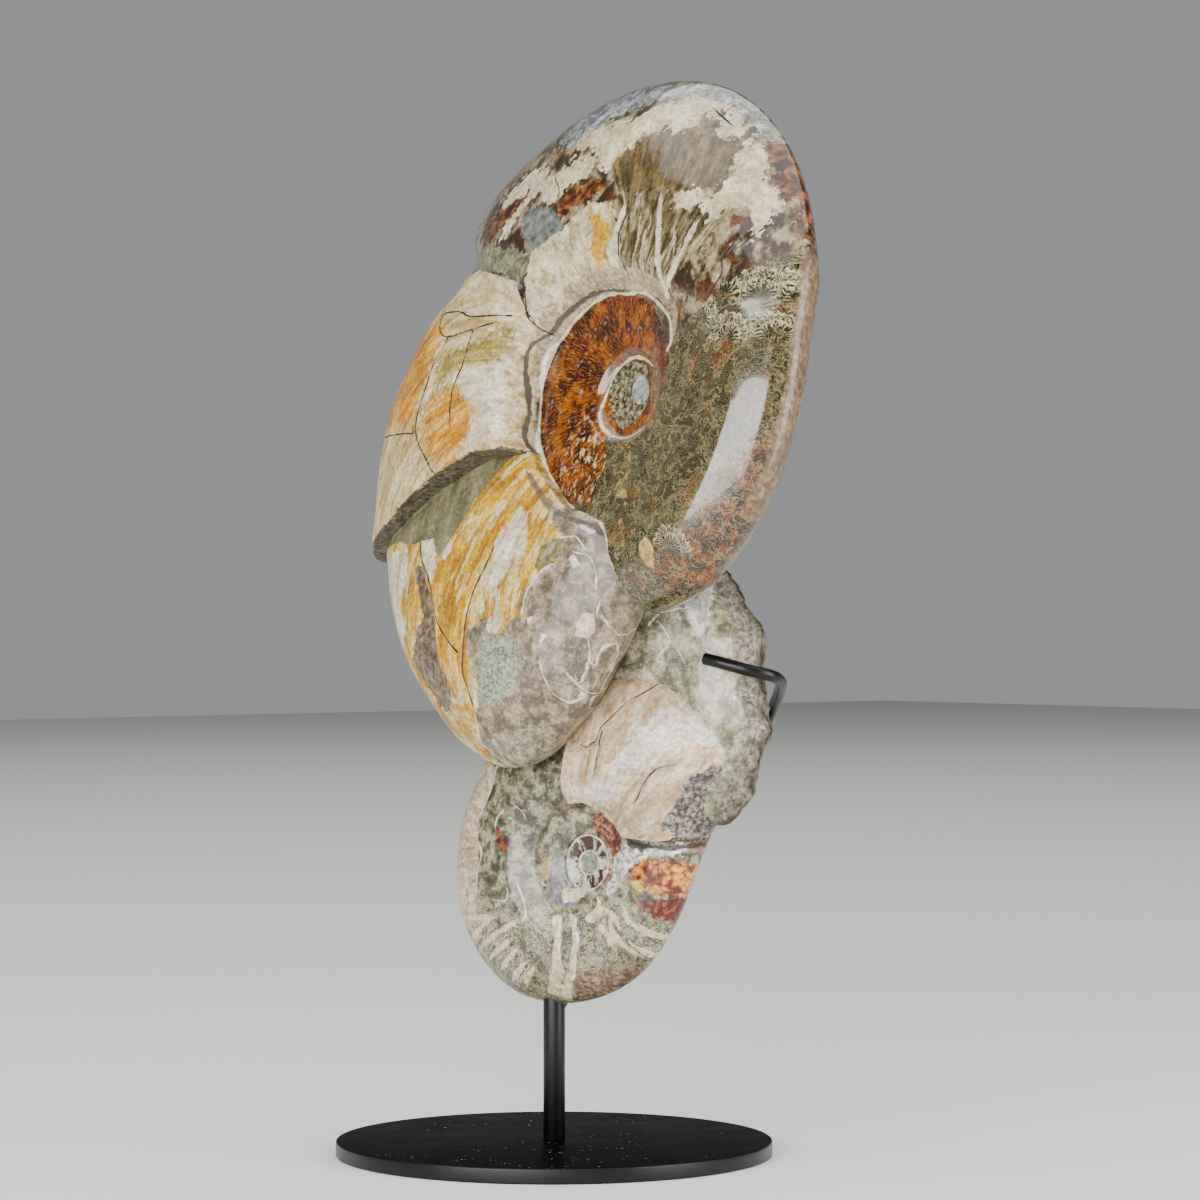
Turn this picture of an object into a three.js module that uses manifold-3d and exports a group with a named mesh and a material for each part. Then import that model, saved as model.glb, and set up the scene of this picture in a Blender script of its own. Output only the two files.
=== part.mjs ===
// Two fossil ammonites grown together with grey-green rock, held on a round black steel stand.
// Millimetres, +Z up. The origin is the centre of the base plate's underside.
// The broad polished faces look along -Y; +X is to the right of someone who faces them.

import * as THREE from 'three';
import { mergeVertices } from 'three/addons/utils/BufferGeometryUtils.js';
import Module from 'manifold-3d';

const wasm = await Module();
wasm.setup();

// Stand sizes
const PLATE_DIAMETER = 200;
const PLATE_THICKNESS = 7;
const PLATE_EDGE_ROUND = 0.8;
const POST_DIAMETER = 10;
const POST_TOP = 108;
const PRONG_DIAMETER = 5.4;
const FIT_GAP = 0.3;

// Where each ammonite's coil centre sits, how its face is turned toward +X and tipped back
const LARGE_PLACE = { centre: [54, 15, 349], turn: 0, tip: 14 };
const SMALL_PLACE = { centre: [22, 10.7, 134], turn: 15.2, tip: 4 };

// Outlines seen square on, as angle in degrees and radius from the coil centre
const LARGE_RIM = [
  [-78, 108], [-60, 107], [-45, 103], [-28, 98], [-12, 94], [14, 94], [30, 103], [50, 116],
  [70, 131], [90, 145], [110, 156], [130, 165], [149, 172], [156, 159], [168, 173], [184, 188],
  [196, 192], [208, 195], [222, 160], [240, 122], [262, 109],
];
const SMALL_RIM = [
  [-20, 47.5], [-2, 50.5], [14, 58], [26, 76], [36, 93], [50, 98], [66, 99], [84, 92], [110, 86],
  [143, 81], [170, 81], [200, 82], [230, 77], [250, 69], [270, 61.5], [292, 55], [316, 49],
];
const FRAGMENT_CENTRE = [-67, -101];
const FRAGMENT_RIM = [
  [0, 76], [22, 88], [45, 112], [75, 128], [110, 140], [132, 138], [150, 124], [163, 114],
  [172, 102], [195, 82], [225, 68.5], [255, 70], [275, 75], [292, 77], [305, 74], [322, 71], [340, 70],
];

// The break that parts the shell from its body chamber: a radial edge, then the coil's seam
const BREAK = [
  [-260, -110], [-172, -76], [-142, -67], [-112, -51], [-79, -37.5], [-50, -35], [-43, -43],
  [-37, -48], [-21, -60], [1, -66.5], [11, -77], [18, -91], [27, -103], [36, -112], [60, -250],
  [-260, -250],
];
// The thick pink shell left on the small ammonite's body chamber, ending in a broken ledge
const PINK_SHELL = [
  [24, 12], [43, 10.5], [59, 13], [80, 17], [120, 30], [120, 130], [20, 130], [8, 86], [-2, 69],
  [-6, 55], [-8, 33], [-7, 26], [1, 27], [12, 23], [20, 17],
];

// Spiral seams that show on the polished faces, as angle and radius from the coil centre
const LARGE_SEAM = [
  [30, 32], [58, 36], [90, 40], [120, 46], [150, 53], [185, 58], [210, 59], [232, 61], [255, 65],
  [280, 62], [310, 50], [345, 38],
];
const LARGE_CORE_SEAM = [
  [60, 11], [120, 14.5], [165, 19], [210, 23.5], [250, 26.5], [300, 26], [340, 22], [20, 15],
];
const SMALL_SEAM = [
  [0, 22], [45, 25], [100, 26], [150, 28], [200, 28], [250, 27], [300, 24], [330, 22],
];

// Half thicknesses and steps
const LARGE_BREADTH = { atCentre: 12, atSeam: 18.5, base: 7, perRadius: 0.155 };
const SMALL_BREADTH = { atCentre: 10.5, atSeam: 13.5, base: 8, perRadius: 0.12 };
const CREST_SHARE = 0.46;
const CREST_CLEAR = 5;
const CREST_LIMIT = 0.64;
const WALL_WIDTH = 9;
const PINK_SHELL_RISE = 7;
const FRAGMENT_HALF = 31;
const FRAGMENT_DROP = 3;

// Rock: outline about its own centre in the small ammonite's plane
const ROCK_CENTRE = [18, 84];
const ROCK_RIM = [
  [-70, 62], [-54, 80], [-42, 80], [-33, 75], [-26, 73], [-19, 74], [-12, 68], [-3, 65.5],
  [6, 64.5], [18, 67.5], [27, 65], [38, 64.5], [50, 66], [58, 66], [75, 74], [100, 82], [130, 92],
  [160, 98], [190, 92], [215, 78], [240, 70], [265, 60],
];
const ROCK_FRONT = 15.5;
const ROCK_BACK = 36;
const ROCK_ROUGHNESS = 2.2;

// Faceting
const LARGE_SECTORS = 60;
const LARGE_BANDS = 26;
const SMALL_SECTORS = 48;
const SMALL_BANDS = 20;
const FRAGMENT_SECTORS = 36;
const FRAGMENT_BANDS = 16;
const ROCK_SECTORS = 40;
const ROCK_BANDS = 18;
const ROUND_SEGMENTS = 72;
const POST_SEGMENTS = 20;
const PRONG_STEPS = 40;
const PRONG_SIDES = 4;
const CUT_HEIGHT = 120;
const CUT_CLEAR = 0.1;

const DEGREE = Math.PI / 180;

const steel = new THREE.MeshStandardMaterial({ color: 0x0b0c0d, roughness: 0.42, metalness: 0.4 });
const polishedFossil = new THREE.MeshStandardMaterial({ color: 0x8a8168, roughness: 0.25 });
const goldenShell = new THREE.MeshStandardMaterial({ color: 0xc9ae7a, roughness: 0.6 });
const pinkShell = new THREE.MeshStandardMaterial({ color: 0xcdb9a4, roughness: 0.5 });
const rock = new THREE.MeshStandardMaterial({ color: 0x7c7a68, roughness: 0.75 });

function smoothStep(from, to, value) {
  const t = Math.min(1, Math.max(0, (value - from) / (to - from)));
  return t * t * (3 - 2 * t);
}

// Angle in degrees from 0 up to 360
function wrap(angle) {
  return ((angle % 360) + 360) % 360;
}

// Smooth closed curve through [angle, radius] pairs, read at one angle
function radiusAt(list, angle) {
  const sorted = list.map(([a, r]) => [wrap(a), r]).sort((one, two) => one[0] - two[0]);
  const count = sorted.length;
  const knot = (i) => {
    const turns = Math.floor(i / count);
    const [a, r] = sorted[i - turns * count];
    return [a + 360 * turns, r];
  };
  const slope = (i) => (knot(i + 1)[1] - knot(i - 1)[1]) / (knot(i + 1)[0] - knot(i - 1)[0]);
  const at = wrap(angle);
  let i = -1;
  while (knot(i + 1)[0] <= at) i += 1;
  const [a0, r0] = knot(i);
  const [a1, r1] = knot(i + 1);
  const span = a1 - a0;
  const t = (at - a0) / span;
  const stay = (1 + 2 * t) * (1 - t) ** 2 * r0 + t * t * (3 - 2 * t) * r1;
  return stay + span * (t * (1 - t) ** 2 * slope(i) - t * t * (1 - t) * slope(i + 1));
}

// Radius of one ring: the inner rings follow the coil's seams, the outer ones close up at the rim
function ringRadius(share, reach, seams) {
  const inner = [[0, 0], ...seams];
  const last = inner[inner.length - 1];
  for (let i = 1; i < inner.length; i += 1) {
    const [toShare, toRadius] = inner[i];
    const [fromShare, fromRadius] = inner[i - 1];
    if (share <= toShare) {
      return fromRadius + (toRadius - fromRadius) * (share - fromShare) / (toShare - fromShare);
    }
  }
  const left = (share - last[0]) / (1 - last[0]);
  return last[1] + (reach - last[1]) * Math.sin(left * Math.PI / 2);
}

// Closed body with a front and a back pole: rings from the front centre, over the rim, to the back
function lens({ rim, sectors, bands, front, back, centre = [0, 0], seamsAt = () => [] }) {
  const body = new THREE.SphereGeometry(1, sectors, bands);
  const spots = body.attributes.position;
  for (let i = 0; i < spots.count; i += 1) {
    const column = i % (sectors + 1);
    const row = (i - column) / (sectors + 1);
    const angle = 360 * (column % sectors) / sectors;
    const share = 1 - Math.abs(1 - 2 * row / bands);
    const reach = radiusAt(rim, angle);
    const radius = share < 1e-9 ? 0 : ringRadius(share, reach, seamsAt(angle, bands / 2));
    const face = 2 * row < bands ? front(angle, radius, reach) : -back(angle, radius, reach);
    const height = 2 * row === bands ? 0 : face;
    const turn = angle * DEGREE;
    spots.setXYZ(i, centre[0] + radius * Math.cos(turn), centre[1] + radius * Math.sin(turn), height);
  }
  return body;
}

// Surface that steps up from the inner coil over the seam to the outer whorl, then falls to the belly
function coiledFace(size, seam, wall, radius, reach) {
  const half = size.base + size.perRadius * reach;
  const clear = Math.max(CREST_SHARE * reach, seam + wall + CREST_CLEAR);
  const crest = Math.min(clear, CREST_LIMIT * reach);
  const inner = size.atCentre + (size.atSeam - size.atCentre) * smoothStep(0, seam, radius);
  const steep = Math.min(1, Math.max(0, (radius - seam) / wall));
  const gentle = smoothStep(seam + wall, seam + wall + CREST_CLEAR, radius);
  const full = inner + (half - size.atSeam) * (0.8 * steep + 0.2 * gentle);
  const s = Math.min(1, Math.max(0, (radius - crest) / (reach - crest)));
  return full * (1 - s ** 2.1) ** 0.62;
}

// The wall over the seam is steep on the left and top, and polished flush on the right
function largeWall(angle) {
  const flush = smoothStep(240, 290, angle) + 1 - smoothStep(20, 60, angle);
  return WALL_WIDTH + 24 * Math.min(1, flush);
}

function largeFront(angle, radius, reach) {
  const core = radiusAt(LARGE_CORE_SEAM, angle);
  const dish = 2.5 * (1 - smoothStep(core - 1, core + 1.5, radius));
  return coiledFace(LARGE_BREADTH, radiusAt(LARGE_SEAM, angle), largeWall(angle), radius, reach) - dish;
}

function largeSeams(angle, rings) {
  const seam = radiusAt(LARGE_SEAM, angle);
  const core = radiusAt(LARGE_CORE_SEAM, angle);
  const wall = seam + largeWall(angle);
  return [[2 / rings, core - 1], [3 / rings, core + 1.5], [5 / rings, seam], [6 / rings, wall]];
}

function smallFront(angle, radius, reach) {
  return coiledFace(SMALL_BREADTH, radiusAt(SMALL_SEAM, angle), WALL_WIDTH, radius, reach);
}

function smallSeams(angle, rings) {
  const seam = radiusAt(SMALL_SEAM, angle);
  return [[3 / rings, seam], [4 / rings, seam + WALL_WIDTH]];
}

function fragmentFace(half) {
  return (angle, radius, reach) => half * Math.max(0, 1 - (radius / reach) ** 3) ** 0.62;
}

// Fixed bumps that break up the rock's surface
function bumps(angle, radius) {
  const x = radius * Math.cos(angle * DEGREE);
  const y = radius * Math.sin(angle * DEGREE);
  const broad = Math.sin(x * 0.13 + 1.1) * Math.cos(y * 0.11 - 0.6);
  const fine = Math.sin(x * 0.31 + y * 0.17) * Math.sin(y * 0.29 - x * 0.07 + 2.2);
  return ROCK_ROUGHNESS * (broad + 0.6 * fine);
}

function rockFace(half, power, rough) {
  return (angle, radius, reach) => {
    const dome = half * Math.max(0, 1 - (radius / reach) ** power) ** 0.7;
    return dome + rough * bumps(angle, radius) * Math.min(1, dome / 8);
  };
}

// Local plane coordinates (right, up, outward) to the model's frame
function placeOf({ centre, turn, tip }) {
  const across = new THREE.Vector3(Math.cos(turn * DEGREE), Math.sin(turn * DEGREE), 0);
  const outward = new THREE.Vector3(
    Math.sin(turn * DEGREE) * Math.cos(tip * DEGREE),
    -Math.cos(turn * DEGREE) * Math.cos(tip * DEGREE),
    Math.sin(tip * DEGREE),
  );
  const along = new THREE.Vector3().crossVectors(outward, across);
  const place = new THREE.Matrix4().makeBasis(across, along, outward);
  return place.setPosition(...centre);
}

function solidOf(geometry) {
  const bare = geometry.index ? geometry.clone() : geometry;
  bare.deleteAttribute('normal');
  bare.deleteAttribute('uv');
  const merged = mergeVertices(bare, 1e-3);
  const triangles = [];
  const index = merged.index.array;
  for (let i = 0; i < index.length; i += 3) {
    const [a, b, c] = [index[i], index[i + 1], index[i + 2]];
    if (a !== b && b !== c && c !== a) triangles.push(a, b, c);
  }
  return new wasm.Manifold(new wasm.Mesh({
    numProp: 3,
    vertProperties: new Float32Array(merged.attributes.position.array),
    triVerts: new Uint32Array(triangles),
  }));
}

// The main body of a cut solid, without loose chips
function largestOf(solid) {
  const bodies = solid.decompose();
  return bodies.reduce((best, body) => (body.volume() > best.volume() ? body : best));
}

function geometryOf(solid) {
  const mesh = solid.getMesh();
  const geometry = new THREE.BufferGeometry();
  geometry.setAttribute('position', new THREE.BufferAttribute(new Float32Array(mesh.vertProperties), 3));
  geometry.setIndex(new THREE.BufferAttribute(new Uint32Array(mesh.triVerts), 1));
  geometry.computeVertexNormals();
  return geometry;
}

function named(name, geometry, material) {
  const mesh = new THREE.Mesh(geometry, material);
  mesh.name = name;
  return mesh;
}

// A face or rim moved outward, to cut a neighbour with a gap
function grownRim(rim, grow) {
  return rim.map(([angle, radius]) => [angle, radius + grow]);
}

function grownFace(face, grow) {
  return (angle, radius, reach) => face(angle, radius, reach) + grow;
}

// Block with the given outline in a fossil's plane, through its whole thickness
function block(outline, place, shift = [0, 0]) {
  const shape = new THREE.Shape(outline.map(([x, y]) => new THREE.Vector2(x + shift[0], y + shift[1])));
  const slab = new THREE.ExtrudeGeometry(shape, { depth: 2 * CUT_HEIGHT, bevelEnabled: false });
  slab.translate(0, 0, -CUT_HEIGHT);
  return solidOf(slab.applyMatrix4(placeOf(place)));
}

function largeSolid(grow = 0) {
  const body = lens({
    rim: grownRim(LARGE_RIM, grow),
    sectors: LARGE_SECTORS,
    bands: LARGE_BANDS,
    front: grownFace(largeFront, grow),
    back: grownFace(largeFront, grow),
    seamsAt: largeSeams,
  });
  const whole = solidOf(body.applyMatrix4(placeOf(LARGE_PLACE)));
  return whole.subtract(block(BREAK, LARGE_PLACE, [-grow, -grow]));
}

function fragmentSolid(grow = 0) {
  const body = lens({
    rim: grownRim(FRAGMENT_RIM, grow),
    sectors: FRAGMENT_SECTORS,
    bands: FRAGMENT_BANDS,
    front: grownFace(fragmentFace(FRAGMENT_HALF), grow),
    back: grownFace(fragmentFace(FRAGMENT_HALF), grow),
    centre: FRAGMENT_CENTRE,
  });
  body.translate(0, 0, -FRAGMENT_DROP);
  const inBreak = grow - FIT_GAP - CUT_CLEAR;
  return solidOf(body.applyMatrix4(placeOf(LARGE_PLACE)))
    .intersect(block(BREAK, LARGE_PLACE, [inBreak, inBreak]));
}

function smallSolid(grow = 0) {
  const coil = (rise) => solidOf(lens({
    rim: grownRim(SMALL_RIM, grow),
    sectors: SMALL_SECTORS,
    bands: SMALL_BANDS,
    front: (angle, radius, reach) => {
      const face = smallFront(angle, radius, reach);
      return face + grow + rise * Math.min(1, face / 12);
    },
    back: grownFace(smallFront, grow),
    seamsAt: smallSeams,
  }).applyMatrix4(placeOf(SMALL_PLACE)));
  return coil(0).add(coil(PINK_SHELL_RISE).intersect(block(PINK_SHELL, SMALL_PLACE)));
}

function rockSolid() {
  const body = lens({
    rim: ROCK_RIM,
    sectors: ROCK_SECTORS,
    bands: ROCK_BANDS,
    front: rockFace(ROCK_FRONT, 6, 0.35),
    back: rockFace(ROCK_BACK, 2, 1),
    centre: ROCK_CENTRE,
  });
  return solidOf(body.applyMatrix4(placeOf(SMALL_PLACE)));
}

// Round bar along Z, as a closed lathe
function bar(radius, low, high, edge = 0) {
  const profile = [
    new THREE.Vector2(0, low),
    new THREE.Vector2(radius - edge, low),
    new THREE.Vector2(radius, low + edge),
    new THREE.Vector2(radius, high - edge),
    new THREE.Vector2(radius - edge, high),
    new THREE.Vector2(0, high),
  ];
  const kept = edge > 0 ? profile : [profile[0], profile[2], profile[3], profile[5]];
  const turned = new THREE.LatheGeometry(kept, edge > 0 ? ROUND_SEGMENTS : POST_SEGMENTS);
  return turned.rotateX(Math.PI / 2);
}

// Bent rod: leaves the post under the stone, climbs its back and hooks round its right edge
function prongPath() {
  const stops = [
    [-4.3, 3.6, 58], [-10, 8.6, 58], [-15, 14, 63], [-10, 22, 78], [6, 36, 100], [24, 50, 130],
    [44, 62, 160], [62, 66, 186], [80, 62, 204], [95, 53, 213], [106, 43, 218], [111, 33, 220.5],
    [107, 23, 223], [98, 16.8, 225.8], [88.5, 14.2, 227.9],
  ];
  return new THREE.CatmullRomCurve3(stops.map((stop) => new THREE.Vector3(...stop)), false, 'centripetal');
}

function prongGeometry() {
  const section = new THREE.Shape();
  section.absarc(0, 0, PRONG_DIAMETER / 2, 0, 2 * Math.PI);
  return new THREE.ExtrudeGeometry(section, {
    steps: PRONG_STEPS,
    curveSegments: PRONG_SIDES,
    bevelEnabled: false,
    extrudePath: prongPath(),
  });
}

const large = largeSolid();
const grownLarge = largeSolid(FIT_GAP + CUT_CLEAR);
const fragment = largestOf(fragmentSolid().subtract(grownLarge));
const grownFragment = fragmentSolid(FIT_GAP + CUT_CLEAR);
const socket = solidOf(bar(POST_DIAMETER / 2 + FIT_GAP, PLATE_THICKNESS, POST_TOP + FIT_GAP));
const small = largestOf(smallSolid().subtract(grownLarge).subtract(grownFragment).subtract(socket));
const grownSmall = smallSolid(FIT_GAP + CUT_CLEAR);
const matrix = largestOf(
  rockSolid().subtract(grownLarge).subtract(grownFragment).subtract(grownSmall).subtract(socket),
);

const stone = new THREE.Group();
stone.add(named('large_ammonite', geometryOf(large), polishedFossil));
stone.add(named('large_body_chamber', geometryOf(fragment), goldenShell));
stone.add(named('small_ammonite', geometryOf(small), pinkShell));
stone.add(named('matrix', geometryOf(matrix), rock));

const stand = new THREE.Group();
stand.add(named('base_plate', bar(PLATE_DIAMETER / 2, 0, PLATE_THICKNESS, PLATE_EDGE_ROUND), steel));
stand.add(named('post', bar(POST_DIAMETER / 2, PLATE_THICKNESS, POST_TOP), steel));
stand.add(named('prong', prongGeometry(), steel));

const specimen = new THREE.Group();
specimen.add(stone);
specimen.add(stand);

export default specimen;
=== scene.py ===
"""The looks of two ammonites grown together with rock, on a round black steel stand."""

import math

import bpy
import bmesh
import numpy as np
from mathutils import Matrix, Vector


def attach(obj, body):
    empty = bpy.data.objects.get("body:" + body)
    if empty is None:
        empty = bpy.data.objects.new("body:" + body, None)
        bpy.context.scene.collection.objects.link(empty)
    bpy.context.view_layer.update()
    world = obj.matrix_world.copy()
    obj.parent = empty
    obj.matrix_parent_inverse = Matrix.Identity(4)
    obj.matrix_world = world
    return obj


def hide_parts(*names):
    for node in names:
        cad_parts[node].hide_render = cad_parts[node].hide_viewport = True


bl_info = {
    "name": "Ammonite Specimen",
    "version": (1, 0, 0),
    "blender": (4, 5, 0),
    "location": "3D View > Sidebar > Ammonite",
    "description": "Builds two polished ammonites in rock on a round steel stand",
    "category": "Add Mesh",
}

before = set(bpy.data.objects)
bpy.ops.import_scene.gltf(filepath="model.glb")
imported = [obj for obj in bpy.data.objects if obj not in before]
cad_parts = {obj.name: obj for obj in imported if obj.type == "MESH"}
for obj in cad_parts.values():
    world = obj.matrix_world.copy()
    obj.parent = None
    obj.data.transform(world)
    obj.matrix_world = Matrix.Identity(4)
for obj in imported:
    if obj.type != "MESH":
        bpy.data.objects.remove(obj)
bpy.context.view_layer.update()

MM = 0.001
# A cut that leaves fewer faces than this has failed
FEWEST_FACES = 100

# Where each coil's centre sits in mm, how its face is turned toward +X and tipped back in degrees
LARGE_PLACE = ((54, 15, 349), 0, 14)
SMALL_PLACE = ((22, 10.7, 134), 15.2, 4)

# Outlines seen square on, as angle in degrees and radius in mm from the coil centre
LARGE_RIM = [
    (-78, 108), (-60, 107), (-45, 103), (-28, 98), (-12, 94), (14, 94), (30, 103), (50, 116),
    (70, 131), (90, 145), (110, 156), (130, 165), (149, 172), (156, 159), (168, 173), (184, 188),
    (196, 192), (208, 195), (222, 160), (240, 122), (262, 109),
]
SMALL_RIM = [
    (-20, 47.5), (-2, 50.5), (14, 58), (26, 76), (36, 93), (50, 98), (66, 99), (84, 92),
    (110, 86), (143, 81), (170, 81), (200, 82), (230, 77), (250, 69), (270, 61.5), (292, 55),
    (316, 49),
]
CHAMBER_CENTRE = (-67, -101)
CHAMBER_RIM = [
    (0, 76), (22, 88), (45, 112), (75, 128), (110, 140), (132, 138), (150, 124), (163, 114),
    (172, 102), (195, 82), (225, 68.5), (255, 70), (275, 75), (292, 77), (305, 74), (322, 71),
    (340, 70),
]
ROCK_CENTRE = (18, 84)
ROCK_RIM = [
    (-70, 62), (-54, 80), (-42, 80), (-33, 75), (-26, 73), (-19, 74), (-12, 68), (-3, 65.5),
    (6, 64.5), (18, 67.5), (27, 65), (38, 64.5), (50, 66), (58, 66), (75, 74), (100, 82),
    (130, 92), (160, 98), (190, 92), (215, 78), (240, 70), (265, 60),
]

# Seams of the coils, as angle and radius
LARGE_SEAM = [
    (30, 32), (58, 36), (90, 40), (120, 46), (150, 53), (185, 58), (210, 59), (232, 61),
    (255, 65), (280, 62), (310, 50), (345, 38),
]
LARGE_CORE = [
    (60, 11), (120, 14.5), (165, 19), (210, 23.5), (250, 26.5), (300, 26), (340, 22), (20, 15),
]
SMALL_SEAM = [
    (0, 22), (45, 25), (100, 26), (150, 28), (200, 28), (250, 27), (300, 24), (330, 22),
]
SMALL_CORE = [(0, 11.5), (90, 12.5), (180, 11.5), (270, 12.5)]

# The break that parts the shell from its body chamber, in the large ammonite's plane
BREAK = [
    (-260, -110), (-172, -76), (-142, -67), (-112, -51), (-79, -37.5), (-50, -35), (-43, -43),
    (-37, -48), (-21, -60), (1, -66.5), (11, -77), (18, -91), (27, -103), (36, -112), (60, -250),
    (-260, -250),
]
# Half depth of the cutting block, coarseness and jitter of its sides, and the gap left, in mm
BREAK_SIDES = (70, 1.6, 0.5)
BREAK_GAP = 0.4
# The thick pink shell left on the small ammonite's body chamber
PINK_SHELL = [
    (24, 12), (43, 10.5), (59, 13), (80, 17), (120, 30), (120, 130), (20, 130), (8, 86),
    (-2, 69), (-6, 55), (-8, 33), (-7, 26), (1, 27), (12, 23), (20, 17),
]

# Largest radius in mm that a Float Curve holds, because its values run from 0 to 1
RADIUS_SCALE = 200.0

# Where the growth lines of each coil begin to lean back, and how far, in mm
LARGE_GROWTH = ((0, 0), 34, 60)
SMALL_GROWTH = ((0, 0), 16, 30)
HUB_RADIUS = 5.4

# The camera's turn round the specimen, its focal length in pixels of a 1200 pixel wide
# picture, and its place in m: away from the post, to its right and above the floor
CAMERA_TURN = math.radians(50)
CAMERA_FOCAL = 4086
CAMERA_PICTURE = 1200
CAMERA_FAR = 1.874
CAMERA_SIDE = 0.021
CAMERA_HIGH = 0.254


# Angles, swells and distances


def smooth_step(low, high, value):
    """Rise from 0 to 1, eased at both ends, as the value goes from low to high."""
    t = np.clip((value - low) / (high - low), 0, 1)
    return t * t * (3 - 2 * t)


def bump(value, width):
    """Round swell of height 1 where the value is 0."""
    return np.exp(-((value / width) ** 2))


def radius_at(knots, angle):
    """Smooth closed curve through (angle, radius) pairs, read at the given angles."""
    ordered = sorted((a % 360, r) for a, r in knots)
    before = [(a - 360, r) for a, r in ordered[-2:]]
    after = [(a + 360, r) for a, r in ordered[:2]]
    x, y = np.array(before + ordered + after, float).T
    slope = np.zeros_like(x)
    slope[1:-1] = (y[2:] - y[:-2]) / (x[2:] - x[:-2])
    at = np.asarray(angle, float) % 360
    i = np.clip(np.searchsorted(x, at, side="right") - 1, 1, len(x) - 3)
    span = x[i + 1] - x[i]
    t = (at - x[i]) / span
    stay = (1 + 2 * t) * (1 - t) ** 2 * y[i] + t * t * (3 - 2 * t) * y[i + 1]
    return stay + span * (t * (1 - t) ** 2 * slope[i] - t * t * (1 - t) * slope[i + 1])


def ripple(x, y, seed=0.0):
    """Fixed irregular swell from about -1 to 1, with a wavelength of about 6 units."""
    broad = np.sin(x + 1.3 * seed) * np.cos(0.83 * y - seed)
    cross = np.sin(1.9 * x - 1.3 * y + 2.1 * seed) * np.sin(1.4 * y + 0.9 * x + seed)
    fine = np.sin(3.7 * x + 2.2 * y + seed) * np.cos(3.1 * y - 1.7 * x)
    return 0.55 * broad + 0.3 * cross + 0.15 * fine


def wrapped(angle):
    """Angle from -180 up to 180 degrees."""
    return (angle + 180) % 360 - 180


def polar(points, centre=(0, 0)):
    """Angle in degrees and radius of each point round a centre."""
    x, y = points[:, 0] - centre[0], points[:, 1] - centre[1]
    return np.degrees(np.arctan2(y, x)) % 360, np.hypot(x, y)


def curved(points, steps=6):
    """Points on a smooth line through the given ones."""
    knots = np.array([points[0], *points, points[-1]], float)
    line = []
    for a, b, c, d in zip(knots, knots[1:], knots[2:], knots[3:]):
        for t in np.arange(steps) / steps:
            line.append(0.5 * (2 * b + (c - a) * t + (2 * a - 5 * b + 4 * c - d) * t * t
                               + (3 * b - a - 3 * c + d) * t ** 3))
    return np.array([*line, knots[-1]])


def along_lines(points, lines):
    """For each point: signed distance to the nearest line, plain distance, way along that line."""
    best = np.full(len(points), 1e3)
    side = np.full(len(points), 1e3)
    way = np.zeros(len(points))
    for line in lines:
        path = curved(line)
        done = 0.0
        for start, end in zip(path, path[1:]):
            step = end - start
            length = math.hypot(*step)
            rel = points - start
            t = np.clip(rel @ step / (length * length), 0, 1)
            off = rel - t[:, None] * step
            far = np.hypot(off[:, 0], off[:, 1])
            near = far < best
            best[near] = far[near]
            turn = step[0] * rel[near, 1] - step[1] * rel[near, 0]
            side[near] = np.where(turn < 0, -far[near], far[near])
            way[near] = done + t[near] * length
            done += length
    return np.stack([side, best, way], 1)


def inside(points, *outlines):
    """Distance to the nearest outline in mm, above 0 inside it and below 0 outside."""
    best = np.full(len(points), -1e3)
    for outline in outlines:
        ring = np.array(outline, float)
        far = np.full(len(points), 1e3)
        within = np.zeros(len(points), bool)
        for start, end in zip(ring, np.roll(ring, -1, 0)):
            step = end - start
            rel = points - start
            t = np.clip(rel @ step / max(step @ step, 1e-9), 0, 1)
            off = rel - t[:, None] * step
            far = np.minimum(far, np.hypot(off[:, 0], off[:, 1]))
            crosses = (start[1] > points[:, 1]) != (end[1] > points[:, 1])
            rise = np.where(abs(step[1]) < 1e-9, 1e-9, step[1])
            within ^= crosses & (points[:, 0] < start[0] + step[0] * rel[:, 1] / rise)
        best = np.maximum(best, np.where(within, far, -far))
    return best


# Meshes


def link(name, mesh):
    """New object in the scene that holds the given data."""
    piece = bpy.data.objects.new(name, mesh)
    bpy.context.scene.collection.objects.link(piece)
    return piece


def mesh_from(name, points, faces):
    """New mesh of the given points and faces."""
    mesh = bpy.data.meshes.new(name)
    mesh.from_pydata([tuple(point) for point in points], [], faces)
    mesh.update()
    return mesh


def points_of(mesh):
    """The mesh's points as rows of x, y and z."""
    flat = np.empty(len(mesh.vertices) * 3)
    mesh.vertices.foreach_get("co", flat)
    return flat.reshape(-1, 3)


def move_points(mesh, points):
    """Give the mesh's points new places."""
    mesh.vertices.foreach_set("co", np.ascontiguousarray(points).ravel())
    mesh.update()


def outward(mesh):
    """Close the seams and poles and turn every face outward."""
    build = bmesh.new()
    build.from_mesh(mesh)
    bmesh.ops.remove_doubles(build, verts=build.verts, dist=1e-4)
    bmesh.ops.dissolve_degenerate(build, edges=build.edges, dist=1e-5)
    bmesh.ops.recalc_face_normals(build, faces=build.faces)
    if build.calc_volume(signed=True) < 0:
        bmesh.ops.reverse_faces(build, faces=build.faces)
    build.to_mesh(mesh)
    build.free()


def plain(piece, name):
    """The evaluated piece as a plain mesh object without modifiers."""
    graph = bpy.context.evaluated_depsgraph_get()
    mesh = bpy.data.meshes.new_from_object(piece.evaluated_get(graph))
    piece.modifiers.clear()
    bpy.data.objects.remove(piece)
    mesh.name = name
    return link(name, mesh)


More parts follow.
